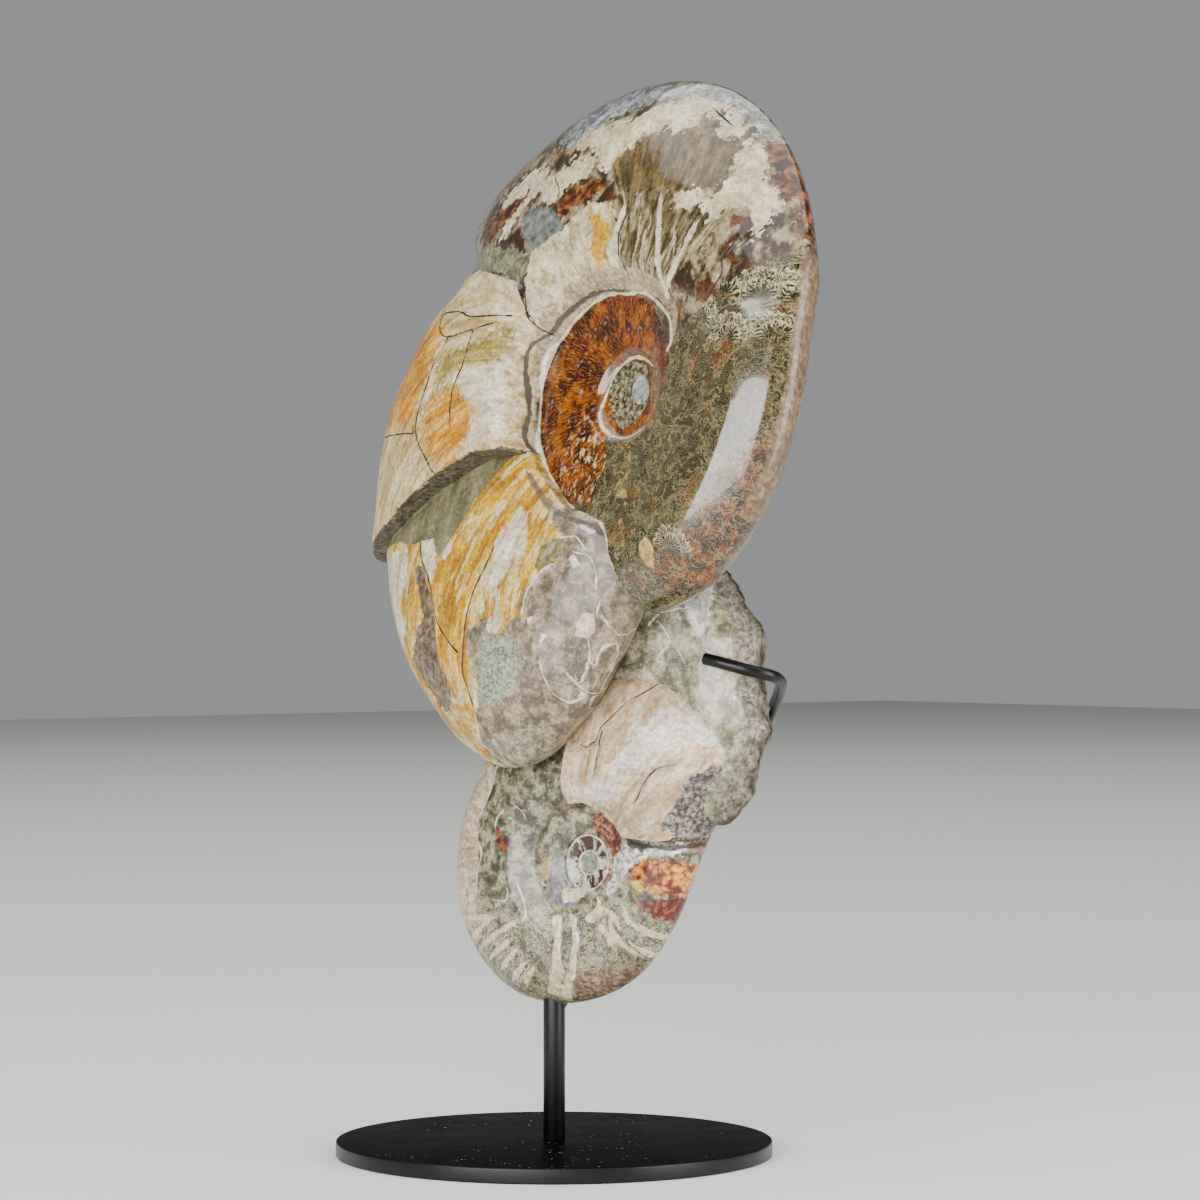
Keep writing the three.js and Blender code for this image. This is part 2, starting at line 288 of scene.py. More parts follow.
def combine(piece, other, operation):
    """Join two pieces or cut one with the other, and use the other up."""
    step = piece.modifiers.new("Join or cut", "BOOLEAN")
    step.object = other
    step.operation = operation
    step.solver = "MANIFOLD"
    made = plain(piece, piece.name)
    bpy.data.objects.remove(other)
    if len(made.data.polygons) < FEWEST_FACES:
        raise RuntimeError(f"cutting {made.name} left almost nothing")
    return made


def largest_part(mesh):
    """Drop the loose chips of a cut mesh."""
    build = bmesh.new()
    build.from_mesh(mesh)
    build.verts.ensure_lookup_table()
    left = set(build.verts)
    groups = []
    while left:
        stack = [left.pop()]
        group = set(stack)
        while stack:
            for edge in stack.pop().link_edges:
                for vert in edge.verts:
                    if vert in left:
                        left.discard(vert)
                        group.add(vert)
                        stack.append(vert)
        groups.append(group)
    groups.sort(key=len)
    loose = [vert for group in groups[:-1] for vert in group]
    bmesh.ops.delete(build, geom=loose, context="VERTS")
    build.to_mesh(mesh)
    build.free()


def place_matrix(place):
    """Turn and shift from a piece's own plane in mm to its place in the frame."""
    centre, turn, tip = place
    turn, tip = math.radians(turn), math.radians(tip)
    across = Vector((math.cos(turn), math.sin(turn), 0))
    out = Vector((math.sin(turn) * math.cos(tip), -math.cos(turn) * math.cos(tip), math.sin(tip)))
    up = out.cross(across)
    basis = Matrix((across, up, out)).transposed().to_4x4()
    return Matrix.Translation(Vector(centre) * MM) @ basis @ Matrix.Scale(MM, 4)


def nearest_frond(points):
    """Place of each point in the frond around it: across and up in shares of its reach, and seed."""
    best = np.zeros((len(points), 3))
    close = np.full(len(points), 1e9)
    for seed, (across, up, reach, lean) in enumerate(FRONDS):
        lean = math.radians(lean)
        x, y = (points[:, 0] - across) / reach, (points[:, 1] - up) / reach
        here = np.stack((x * math.cos(lean) - y * math.sin(lean),
                         x * math.sin(lean) + y * math.cos(lean), np.full(len(x), float(seed))), 1)
        far = np.hypot(here[:, 0], here[:, 1] - 0.45)
        nearer = far < close
        best[nearer], close[nearer] = here[nearer], far[nearer]
    return best


def store(mesh, name, values):
    """Keep one value or one vector for each point, for the materials to read."""
    kind, field = ("FLOAT", "value") if values.ndim == 1 else ("FLOAT_VECTOR", "vector")
    layer = mesh.attributes.new(name, kind, "POINT")
    layer.data.foreach_set(field, np.ascontiguousarray(values, dtype=np.float32).ravel())


def store_areas(mesh, flat, areas):
    """Keep each named area as the distance to its outlines."""
    for name, outlines in areas.items():
        store(mesh, name, inside(flat, *outlines))


def store_lines(mesh, flat, lines):
    """Keep each named set of lines as the distances to its nearest one."""
    for name, paths in lines.items():
        store(mesh, name, along_lines(flat, paths))


def settle(piece, node, place, material, sharp=40):
    """Put a piece made in mm in its own plane where it belongs, and hand it to the frame."""
    mesh = piece.data
    if place is not None:
        mesh.transform(place_matrix(place))
    mesh.materials.clear()
    mesh.materials.append(material)
    mesh.polygons.foreach_set("material_index", np.zeros(len(mesh.polygons), np.int32))
    mesh.polygons.foreach_set("use_smooth", np.ones(len(mesh.polygons), bool))
    mesh.set_sharp_from_angle(angle=math.radians(sharp))
    mesh.update()
    piece.name = node + "_surface"
    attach(piece, "root")
    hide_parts(node)
    return piece


def rough_block(name, outline, depth, coarse, jitter):
    """Upright block through a fossil, with sides broken as stone breaks."""
    ring = []
    for start, end in zip(np.array(outline, float), np.roll(np.array(outline, float), -1, 0)):
        length = math.hypot(*(end - start))
        count = max(1, round(min(length, 90) / coarse))
        ring += [start + (end - start) * k / count for k in range(count)]
    ring = np.array(ring)
    levels = np.arange(-depth, depth + 0.1, 2 * coarse)
    points = []
    for level in levels:
        push = jitter * ripple(ring[:, 0] * 0.9 + level * 0.7, ring[:, 1] * 0.9 - level * 0.5)
        shove = jitter * ripple(ring[:, 1] * 1.1 + level, ring[:, 0] * 0.8 + level * 0.4, 3.0)
        points += [(x + a, y + b, level) for (x, y), a, b in zip(ring, push, shove)]
    count = len(ring)
    faces = []
    for row in range(len(levels) - 1):
        for i in range(count):
            j = (i + 1) % count
            low, high = row * count, (row + 1) * count
            faces.append((low + i, low + j, high + j, high + i))
    faces.append(tuple(range(count)))
    faces.append(tuple(range((len(levels) - 1) * count, len(levels) * count)))
    mesh = mesh_from(name, points, faces)
    outward(mesh)
    return link(name, mesh)


def bulging_body(name, rim, centre, sectors, front, back):
    """Closed body from a front pole over its rim to a back pole; front and back give heights."""
    angles = 360 * np.arange(sectors) / sectors
    reach = radius_at(rim, angles)
    rows = []
    front_rows, front_law = front
    back_rows, back_law = back
    for share in np.arange(1, front_rows) / front_rows:
        rows.append((0.65 * share + 0.35 * math.sin(share * math.pi / 2), 1, front_law))
    rows.append((1.0, 0, None))
    for share in np.arange(back_rows - 1, 0, -1) / back_rows:
        rows.append((0.65 * share + 0.35 * math.sin(share * math.pi / 2), -1, back_law))
    points = [(centre[0], centre[1], float(front_law(np.zeros(1), np.zeros(1), reach[:1])[0]))]
    for share, side, law in rows:
        radius = reach * share
        height = np.zeros(sectors) if law is None else side * law(angles, radius, reach)
        turn = np.radians(angles)
        points += zip(centre[0] + radius * np.cos(turn), centre[1] + radius * np.sin(turn), height)
    points.append((centre[0], centre[1], -float(back_law(np.zeros(1), np.zeros(1), reach[:1])[0])))
    last = len(points) - 1
    faces = []
    for i in range(sectors):
        j = (i + 1) % sectors
        faces.append((0, 1 + i, 1 + j))
        for row in range(len(rows) - 1):
            low = 1 + row * sectors
            faces.append((low + i, low + sectors + i, low + sectors + j, low + j))
        low = 1 + (len(rows) - 1) * sectors
        faces.append((last, low + j, low + i))
    mesh = mesh_from(name, points, faces)
    outward(mesh)
    return link(name, mesh)


# Node trees that grow the pieces


class Wiring:
    """Adds nodes to a tree and feeds their sockets with numbers, colours or other sockets."""

    def __init__(self, tree):
        self.tree = tree

    def node(self, kind, *values, **settings):
        made = self.tree.nodes.new(kind)
        for name, value in settings.items():
            setattr(made, name, value)
        for place, value in enumerate(values):
            self.feed(made.inputs[place], value)
        return made

    def feed(self, socket, value):
        if isinstance(value, bpy.types.NodeSocket):
            self.tree.links.new(value, socket)
        elif value is not None:
            socket.default_value = value

    def math(self, operation, *values, clamp=False):
        return self.node("ShaderNodeMath", *values, operation=operation, use_clamp=clamp).outputs[0]

    def spread(self, value, low, high, to_low=0.0, to_high=1.0, smooth=False):
        kind = "SMOOTHSTEP" if smooth else "LINEAR"
        made = self.node("ShaderNodeMapRange", value, low, high, to_low, to_high)
        made.interpolation_type = kind
        return made.outputs[0]

    def blend(self, share, one, two):
        """Mix of two colours, or of two values."""
        colours = any(
            isinstance(side, tuple) or getattr(side, "type", "") == "RGBA" for side in (one, two)
        )
        made = self.node("ShaderNodeMix", data_type="RGBA" if colours else "FLOAT")
        first = 6 if colours else 2
        self.feed(made.inputs[0], share)
        self.feed(made.inputs[first], one)
        self.feed(made.inputs[first + 1], two)
        return made.outputs[2 if colours else 0]

    def sockets(self, inputs, outputs):
        """Named inputs and outputs of a group; returns the input node's sockets by name."""
        for name, kind, value in inputs:
            socket = self.tree.interface.new_socket(name, in_out="INPUT", socket_type=kind)
            if value is not None:
                socket.default_value = value
        for name, kind in outputs:
            self.tree.interface.new_socket(name, in_out="OUTPUT", socket_type=kind)
        return {socket.name: socket for socket in self.node("NodeGroupInput").outputs}

    def deliver(self, *values):
        self.node("NodeGroupOutput", *values)


REAL = "NodeSocketFloat"
WHOLE = "NodeSocketInt"
VECTOR = "NodeSocketVector"
COLOUR = "NodeSocketColor"


def coil_tree(name, rim, seam, core, flush):
    """Geometry Nodes tree of one coiled shell: every ring follows the coil's seams by angle."""
    tree = bpy.data.node_groups.new(name, "GeometryNodeTree")
    wire = Wiring(tree)
    size = wire.sockets(
        [
            ("Sectors", WHOLE, 400), ("Front Rings", WHOLE, 120), ("Back Rings", WHOLE, 40),
            ("Half at Centre", REAL, 0.012), ("Half at Seam", REAL, 0.0185),
            ("Half at Belly", REAL, 0.007), ("Half per Radius", REAL, 0.155),
            ("Wall Width", REAL, 0.009), ("Flush Width", REAL, 0.024),
            ("Crest Share", REAL, 0.46), ("Crest Clear", REAL, 0.005), ("Crest Limit", REAL, 0.64),
            ("Core Dish", REAL, 0.0025), ("Material", "NodeSocketMaterial", None),
        ],
        [("Shell", "NodeSocketGeometry")],
    )

    def by_angle(knots, scale):
        made = wire.node("ShaderNodeFloatCurve", 1.0, turn)
        made.mapping.use_clip = False
        curve = made.mapping.curves[0]
        for step in range(0, 361, 5):
            value = float(radius_at(knots, np.array([step]))[0]) / RADIUS_SCALE
            if step in (0, 360):
                curve.points[0 if step == 0 else -1].location = (step / 360, value)
            else:
                curve.points.new(step / 360, value)
        made.mapping.update()
        return wire.math("MULTIPLY", made.outputs[0], scale * RADIUS_SCALE * MM)

    rows = wire.math("ADD", size["Front Rings"], size["Back Rings"])
    grid = wire.node(
        "GeometryNodeMeshGrid", 1.0, 1.0,
        wire.math("ADD", size["Sectors"], 1), wire.math("ADD", rows, 1),
    )
    spot = wire.node("ShaderNodeSeparateXYZ", wire.node("GeometryNodeInputPosition").outputs[0])
    turn = wire.math("ADD", spot.outputs[0], 0.5)
    row = wire.math("ROUND", wire.math("MULTIPLY", wire.math("ADD", spot.outputs[1], 0.5), rows))
    share = wire.math(
        "MINIMUM",
        wire.math("DIVIDE", row, size["Front Rings"]),
        wire.math("DIVIDE", wire.math("SUBTRACT", rows, row), size["Back Rings"]),
    )
    facing = wire.math("SIGN", wire.math("SUBTRACT", size["Front Rings"], row))
    reach, edge, middle = by_angle(rim, 1), by_angle(seam, 1), by_angle(core, 1)
    wall = wire.math("ADD", size["Wall Width"],
                     wire.math("MULTIPLY", by_angle(flush, 1 / MM / 100), size["Flush Width"]))
    top_of_wall = wire.math("ADD", edge, size["Wall Width"])
    radius = wire.spread(share, 0, 0.12, 0, middle)
    radius = wire.math("ADD", radius, wire.spread(
        share, 0.12, 0.34, 0, wire.math("SUBTRACT", edge, middle)))
    radius = wire.math("ADD", radius, wire.spread(share, 0.34, 0.41, 0, size["Wall Width"]))
    out = wire.spread(share, 0.41, 1)
    bowed = wire.math("SINE", wire.math("MULTIPLY", out, math.pi / 2))
    eased = wire.blend(0.4, out, bowed)
    radius = wire.math("ADD", radius, wire.math(
        "MULTIPLY", eased, wire.math("SUBTRACT", reach, top_of_wall)))
    half = wire.math("MULTIPLY_ADD", reach, size["Half per Radius"], size["Half at Belly"])
    shoulder = wire.math("ADD", edge, wall)
    full_height = wire.math("ADD", shoulder, size["Crest Clear"])
    crest = wire.math(
        "MINIMUM",
        wire.math("MAXIMUM", wire.math("MULTIPLY", reach, size["Crest Share"]), full_height),
        wire.math("MULTIPLY", reach, size["Crest Limit"]),
    )
    inner = wire.spread(radius, 0, edge, size["Half at Centre"], size["Half at Seam"], smooth=True)
    rise = wire.math("SUBTRACT", half, size["Half at Seam"])
    steep = wire.math("MULTIPLY", wire.spread(radius, edge, shoulder), 0.8)
    gentle = wire.math("MULTIPLY", wire.spread(radius, shoulder, full_height, smooth=True), 0.2)
    full = wire.math("MULTIPLY_ADD", rise, wire.math("ADD", steep, gentle), inner)
    fall = wire.math("POWER", wire.spread(radius, crest, reach), 2.1)
    taper = wire.math("POWER", wire.math("SUBTRACT", 1, fall, clamp=True), 0.62)
    lip = wire.math("ADD", middle, 0.0015)
    dish = wire.math("MULTIPLY", size["Core Dish"], wire.math(
        "SUBTRACT", 1, wire.spread(radius, wire.math("SUBTRACT", middle, 0.001), lip, smooth=True)))
    height = wire.math("SUBTRACT", wire.math("MULTIPLY", full, taper), dish)
    angle = wire.math("MULTIPLY", turn, 2 * math.pi)
    place = wire.node(
        "ShaderNodeCombineXYZ",
        wire.math("MULTIPLY", radius, wire.math("COSINE", angle)),
        wire.math("MULTIPLY", radius, wire.math("SINE", angle)),
        wire.math("MULTIPLY", height, facing),
    )
    moved = wire.node("GeometryNodeSetPosition", grid.outputs[0], None, place.outputs[0])
    joined = wire.node("GeometryNodeMergeByDistance", moved.outputs[0])
    joined.inputs["Distance"].default_value = 1e-6
    real = wire.node("GeometryNodeRealizeInstances", joined.outputs[0])
    coated = wire.node("GeometryNodeSetMaterial", real.outputs[0], None, size["Material"])
    wire.deliver(coated.outputs[0])
    return tree


def grow(name, tree, values):
    """Plain mesh object from a Geometry Nodes tree with the given named inputs."""
    seed = link(name, mesh_from(name, [(0, 0, 0)], []))
    nodes = seed.modifiers.new("Growth", "NODES")
    nodes.node_group = tree
    found = {item.name: item.identifier for item in tree.interface.items_tree
             if item.item_type == "SOCKET" and item.in_out == "INPUT"}
    for label, value in values.items():
        nodes[found[label]] = value
    return plain(seed, name)


# Relief and markings

# Where the wall above a coil's seam fades out, as angle and share of 100
LARGE_FLUSH = [
    (0, 100), (20, 100), (30, 84), (40, 50), (50, 16), (60, 0), (75, 0), (90, 0), (150, 0),
    (225, 0), (240, 0), (252, 12), (265, 50), (278, 88), (290, 100), (310, 100), (340, 100),
]
SMALL_FLUSH = [(0, 0), (90, 0), (180, 0), (270, 0)]

# Lines on the large ammonite, in mm in its own plane
CORE_LINE = [(8, 8), (5, 10), (-3, 12), (-9, 11), (-16, 6), (-19, -1), (-20, -12), (-17, -19),
             (-11, -24), (-4, -26), (3, -26), (10, -23), (15, -20)]
SEAM_LINE = [(25, 12), (27, 16), (24, 25), (19, 30), (10, 36), (2, 39.5), (-10, 40), (-22, 40),
             (-33, 36), (-43, 29), (-50, 21), (-56, 14), (-58, 4), (-57, -7), (-55, -18),
             (-52, -29), (-45, -39), (-37, -47), (-29, -54), (-20, -60), (-9, -64), (1, -67),
             (8, -72), (11, -77), (14, -84), (18, -91), (22, -98), (27, -103), (36, -106),
             (48, -101), (58, -93)]
LARGE_CRACKS = [
    [(-85, 26), (-100, 24), (-118, 22), (-129, 24), (-137, 30), (-144, 40)],
    [(-121, 21), (-126, 13), (-127, 1), (-129, -12), (-127, -26), (-114, -38), (-101, -48),
     (-93, -50)],
    [(-196, -17), (-172, -22), (-150, -24), (-127, -26)],
    [(-139, 37), (-120, 35), (-107, 31), (-86, 30), (-73, 29)],
    [(-70, 59), (-73, 49), (-66, 40), (-64, 31), (-58, 24), (-54, 22)],
    [(-100, 24), (-99, 10), (-102, -8), (-98, -24)],
    [(60, 60), (55, 52), (57, 44), (52, 36)], [(72, 68), (62, 56)],
    [(-3, 84), (-10, 66), (-5, 48)], [(33, 118), (20, 126)], [(-68, 97), (-60, 88), (-62, 78)],
]

GREY_STRIP = [(-135, 73), (-91, 63), (-70, 59), (-68, 50), (-73, 44), (-86, 50), (-118, 56),
              (-140, 60)]
SHELL = [(-150, 58), (-118, 57), (-73, 45), (-64, 31), (-58, 23), (-60, 5), (-59, -11),
         (-52, -35), (-55, -38), (-63, -40), (-79, -46), (-104, -63), (-137, -80),
         (-186, -90), (-230, -60), (-235, -5), (-210, 40), (-180, 64)]
SHELL_OCHRE = [
    [(-126, 30), (-127, 21), (-128, 5), (-132, -9), (-130, -24), (-200, -16), (-205, 5),
     (-190, 25), (-178, 40)],
    [(-120, -8), (-100, -4), (-84, -14), (-78, -32), (-92, -46), (-112, -36), (-124, -24)],
]

# Coloured areas of the large ammonite, in mm in its own plane
LARGE_AREAS = {
    "low rust": [
        [(92, -18), (84, -34), (76, -45), (70, -57), (60, -68), (48, -78), (40, -88), (46, -106),
         (72, -92), (92, -64), (108, -36), (108, -16)],
    ],
    "amber flecks": [
        [(-26, -14), (-14, -20), (-4, -30), (-5, -44), (-7, -57), (-20, -58), (-30, -50),
         (-32, -30)],
    ],
    "streaked": [
        [(-12, 85), (12, 84), (42, 84), (51, 71), (43, 57), (33, 48), (24, 37), (14, 40), (-2, 47),
         (-5, 48), (-10, 66), (-19, 80)],
    ],
    "olive patch": [
        [(-29, 100), (-19, 108), (-6, 115), (9, 114), (15, 124), (23, 116), (39, 108), (45, 107),
         (45, 95), (42, 86), (29, 85), (12, 85), (-3, 84), (-15, 87), (-22, 94)],
    ],
    "cream": [
        [(-109, 89), (-97, 103), (-81, 104), (-68, 97), (-58, 105), (-45, 107), (-38, 97),
         (-50, 92), (-57, 85), (-65, 83), (-77, 90), (-83, 85), (-88, 79), (-90, 71), (-97, 65),
         (-98, 74)],
        [(-69, 116), (-49, 123), (-28, 123), (-16, 130), (-3, 133), (14, 135), (23, 131),
         (24, 122), (14, 126), (15, 118), (9, 114), (-3, 117), (-12, 114), (-19, 108), (-25, 104),
         (-28, 95), (-37, 99), (-44, 109), (-57, 109)],
        [(46, 108), (52, 109), (60, 100), (64, 87), (70, 88), (73, 79), (72, 68), (70, 61),
         (65, 64), (62, 75), (54, 76), (49, 71), (43, 69), (37, 77), (42, 81), (46, 90), (45, 99)],
        [(14, 135), (23, 133), (35, 125), (42, 117), (41, 111), (32, 111), (27, 118), (25, 126)],
        [(17, 78), (29, 85), (41, 81), (38, 76), (26, 75)],
    ],
    "blue band": [
        [(-81, 118), (-74, 134), (-52, 141), (-22, 143), (1, 141), (25, 133), (47, 120), (61, 108),
         (62, 105), (47, 115), (26, 128), (7, 135), (-14, 135), (-33, 129), (-53, 122),
         (-64, 113)],
    ],
    "rust": [
        [(53, 110), (59, 110), (75, 95), (89, 75), (98, 58), (88, 60), (78, 79), (69, 86),
         (60, 100)],
        [(-50, 91), (-35, 93), (-26, 89), (-36, 83), (-46, 78), (-56, 70), (-59, 83)],
        [(-120, 78), (-97, 88), (-86, 92), (-92, 80), (-104, 70)],
    ],
    "blue patch": [
        [(-83, 80), (-73, 83), (-57, 79), (-48, 70), (-51, 59), (-64, 58), (-79, 69)],
    ],
    "grey strip": [GREY_STRIP],
    "fan": [
        [(-67, 59), (-50, 68), (-35, 81), (-20, 80), (-9, 66), (-5, 48), (-28, 45), (-47, 32),
         (-58, 24), (-63, 31), (-67, 45)],
    ],
    "fan ochre": [
        [(-29, 77), (-20, 73), (-14, 64), (-15, 55), (-21, 49), (-26, 54), (-26, 63), (-32, 72)],
    ],
    "amber": [
        [(-22, 40), (-7, 41), (9, 33), (21, 21), (27, 6), (26, -6), (20, -18), (6, -26),
         (-10, -27), (-6, -34), (-5, -44), (-7, -57), (-20, -58), (-35, -49), (-49, -32),
         (-59, -8), (-59, 9), (-54, 22), (-45, 32), (-32, 38)],
    ],
    "core": [
        [(-10, 11), (3, 8), (7, 0), (9, -9), (5, -17), (-4, -22), (-15, -15), (-19, -1), (-17, 7)],
    ],
    "core pip": [[(0, 4), (6, 0), (9, -6), (5, -10), (-2, -9), (-5, -3), (-4, 2)]],
    "shell": [SHELL],
    "shell pale": [[(-104, 2), (-70, 8), (-62, -19), (-61, -30), (-81, -34), (-79, -17)]],
    "shell olive": [[(-120, 13), (-71, 22), (-62, 10), (-77, 6), (-107, 3), (-118, -7)]],
    "pip": [
        [(33, -77), (37, -74), (41, -78), (42, -84), (40, -88), (36, -86), (33, -82)],
    ],
}

# Lines of the large ammonite: seams, cracks, thin septa, broad pale bars and flecks
LARGE_LINES = {
    "seam line": [SEAM_LINE],
    "core line": [CORE_LINE],
    "cracks": LARGE_CRACKS,
    "septa": [
        [(-5, 48), (-10, 66), (-9, 76), (-14, 86)],
        [(-47, 32), (-43, 44), (-50, 56)],
        [(-30, 44), (-36, 56), (-42, 66)],
        [(22, 38), (17, 52), (15, 66), (13, 78)],
        [(25, 40), (27, 52), (24, 66)],
        [(0, 46), (3, 58), (2, 72)],
        [(-43, 44), (-28, 45), (-5, 47)],
        [(-66, 44), (-58, 52), (-50, 58)],
        [(33, 48), (38, 58), (46, 70)],
        [(8, 44), (9, 60)],
    ],
    "bars": [
        [(23, 36), (18, 50), (15, 64), (12, 80)],
        [(25, 40), (31, 54), (36, 66)],
        [(-47, 34), (-44, 44), (-50, 54)],
        [(-9, 50), (-12, 64), (-10, 76)],
    ],
    "flecks": [
        [(5, -30), (8, -37), (10, -43), (12, -53), (17, -62), (20, -72)],
        [(-14, -28), (-22, -34), (-26, -42)],
    ],
}

# Suture fronds: across, up and reach in mm, and lean in degrees from straight up
FRONDS = [
    (60, 33, 19, 0), (80, 54, 18, -12), (78, 34, 15, 5), (92, 36, 15, -15), (47, 24, 13, 25),
    (66, 15, 13, 0), (86, 18, 12, -10), (50, -78, 10, 10),
]

# Lines and areas of the broken body chamber, in the same plane
CHAMBER_CRACKS = [
    [(-118, -77), (-113, -86), (-106, -93), (-99, -104), (-94, -113), (-84, -122), (-73, -129)],
    [(-60, -80), (-63, -88), (-68, -100), (-70, -109), (-70, -119), (-69, -130), (-68, -138),
     (-63, -147), (-59, -157)],
]
SHELL_LINES = [
    [(-19, -75), (-11, -74), (-6, -79)], [(-10, -81), (-4, -82), (-1, -87), (0, -96)],
    [(1, -102), (0, -107)],
    [(-23, -130), (-22, -135), (-19, -143), (-15, -146), (-12, -144), (-10, -141)],
    [(-13, -134), (-11, -137), (-9, -140)], [(-4, -119), (-5, -126), (-9, -136)],
    [(2, -108), (3, -111), (4, -115), (-1, -121), (-4, -128)],
    [(-66, -160), (-63, -166), (-58, -172), (-50, -176), (-42, -177), (-34, -173), (-28, -168)],
    [(-81, -57), (-84, -63), (-92, -75), (-100, -85)], [(-27, -93), (-32, -102), (-33, -111)],
    [(-20, -87), (-27, -93)], [(-62, -168), (-60, -158), (-58, -148)],
]
DARK_STRIP = [(-182, -77), (-136, -75), (-130, -78), (-117, -76), (-107, -75), (-100, -86),
              (-92, -75), (-84, -63), (-78, -54), (-60, -34), (-120, -40), (-200, -60)]
BROWN_PATCH = [(-118, -88), (-111, -87), (-107, -95), (-99, -104), (-95, -113), (-92, -122),
               (-88, -134), (-81, -140), (-78, -147), (-83, -156), (-93, -152), (-106, -142),
               (-118, -131), (-112, -120), (-105, -113), (-113, -100)]
SEDIMENT = [(-26, -63), (-15, -58), (6, -66), (16, -90), (24, -103), (30, -118), (14, -134),
            (4, -150), (-8, -166), (-21, -176), (-42, -181), (-57, -179), (-62, -168),
            (-60, -159), (-57, -153), (-59, -138), (-65, -129), (-68, -119), (-56, -113),
            (-50, -120), (-42, -119), (-38, -113), (-33, -111), (-32, -102), (-27, -93),
            (-20, -87), (-24, -83), (-22, -77), (-17, -74), (-20, -71), (-25, -69)]

# Lines and areas of the small ammonite, in its own plane
RIBS = [
    [(-17, -25), (-12, -24), (-11, -36), (-9, -50), (-16, -62), (-22, -60), (-15, -49), (-14, -36)],
    [(-8, -24), (-5, -24), (-1, -36), (-3, -51), (-12, -64), (-16, -62), (-6, -49), (-4, -36)],
    [(-1, -26), (7, -19), (6, -12), (9, -19), (19, -23), (21, -32), (34, -41), (30, -42),
     (19, -29), (13, -22), (5, -27)],
    [(-14, -13), (-12, -12), (-9, -12), (-4, -12), (0, -13), (-2, -16), (-7, -18), (-12, -19)],
]
SHORT_RIBS = [
    [(-61, -42), (-46, -34), (-37, -29)], [(-64, -36), (-52, -29)], [(-54, -46), (-40, -38)],
    [(-45, -49), (-36, -42)], [(-39, -54), (-32, -48)], [(-32, -56), (-26, -49)],
    [(-66, -28), (-50, -27)], [(15, -26), (17, -32), (26, -40)], [(10, -29), (14, -32), (16, -36)],
    [(22, -21), (25, -26), (38, -33)], [(7, -60), (9, -63)],
]
PINK_CRACKS = [
    [(3, 53), (6, 52), (9, 54), (11, 55), (13, 61), (17, 65), (21, 69), (26, 74), (32, 77),
     (38, 82)],
    [(34, 28), (36, 31), (38, 36), (44, 43), (52, 45)], [(11, 40), (13, 52), (14, 59)],
]
SLOPE = [(46, 17), (56, 34), (60, 40), (66, 44), (72, 49), (84, 48), (86, 29), (80, 15),
         (60, 15), (52, 12)]

# Coloured areas of the body chamber, in the large ammonite's plane
CHAMBER_AREAS = {
    "sediment": [SEDIMENT],
    "dark strip": [DARK_STRIP],
    "brown patch": [BROWN_PATCH],
    "pale stripes": [
        [(-117, -76), (-108, -73), (-101, -85), (-101, -99), (-111, -87)],
        [(-178, -79), (-127, -80), (-124, -92), (-129, -106), (-122, -119), (-138, -128),
         (-170, -112), (-180, -95)],
        [(-58, -74), (-46, -60), (-38, -72), (-46, -92), (-54, -104), (-60, -92)],
    ],
    "green grain": [
        [(-60, -122), (-48, -121), (-36, -122), (-31, -132), (-37, -144), (-46, -152), (-56, -150),
         (-58, -136)],
    ],
    "low lens": [
        [(-62, -168), (-43, -163), (-30, -158), (-27, -160), (-33, -169), (-43, -175),
         (-54, -175)],
    ],
    "olive chips": [
        [(-27, -79), (-19, -75), (-16, -78), (-20, -87), (-25, -92), (-29, -88)],
        [(-33, -99), (-29, -97), (-31, -108), (-36, -110)],
    ],
    "white bits": [
        [(-13, -84), (-10, -88), (-7, -86), (-11, -81)],
        [(-11, -68), (-6, -72), (-2, -71), (-6, -68)],
        [(-55, -117), (-52, -112), (-49, -115), (-52, -120)],
        [(-31, -112), (-27, -111), (-29, -115)],
        [(-23, -118), (-20, -119), (-23, -122)],
    ],
    "pink bit": [
        [(-5, -107), (-1, -107), (-1, -113), (-4, -118), (-8, -117), (-8, -112)],
    ],
}

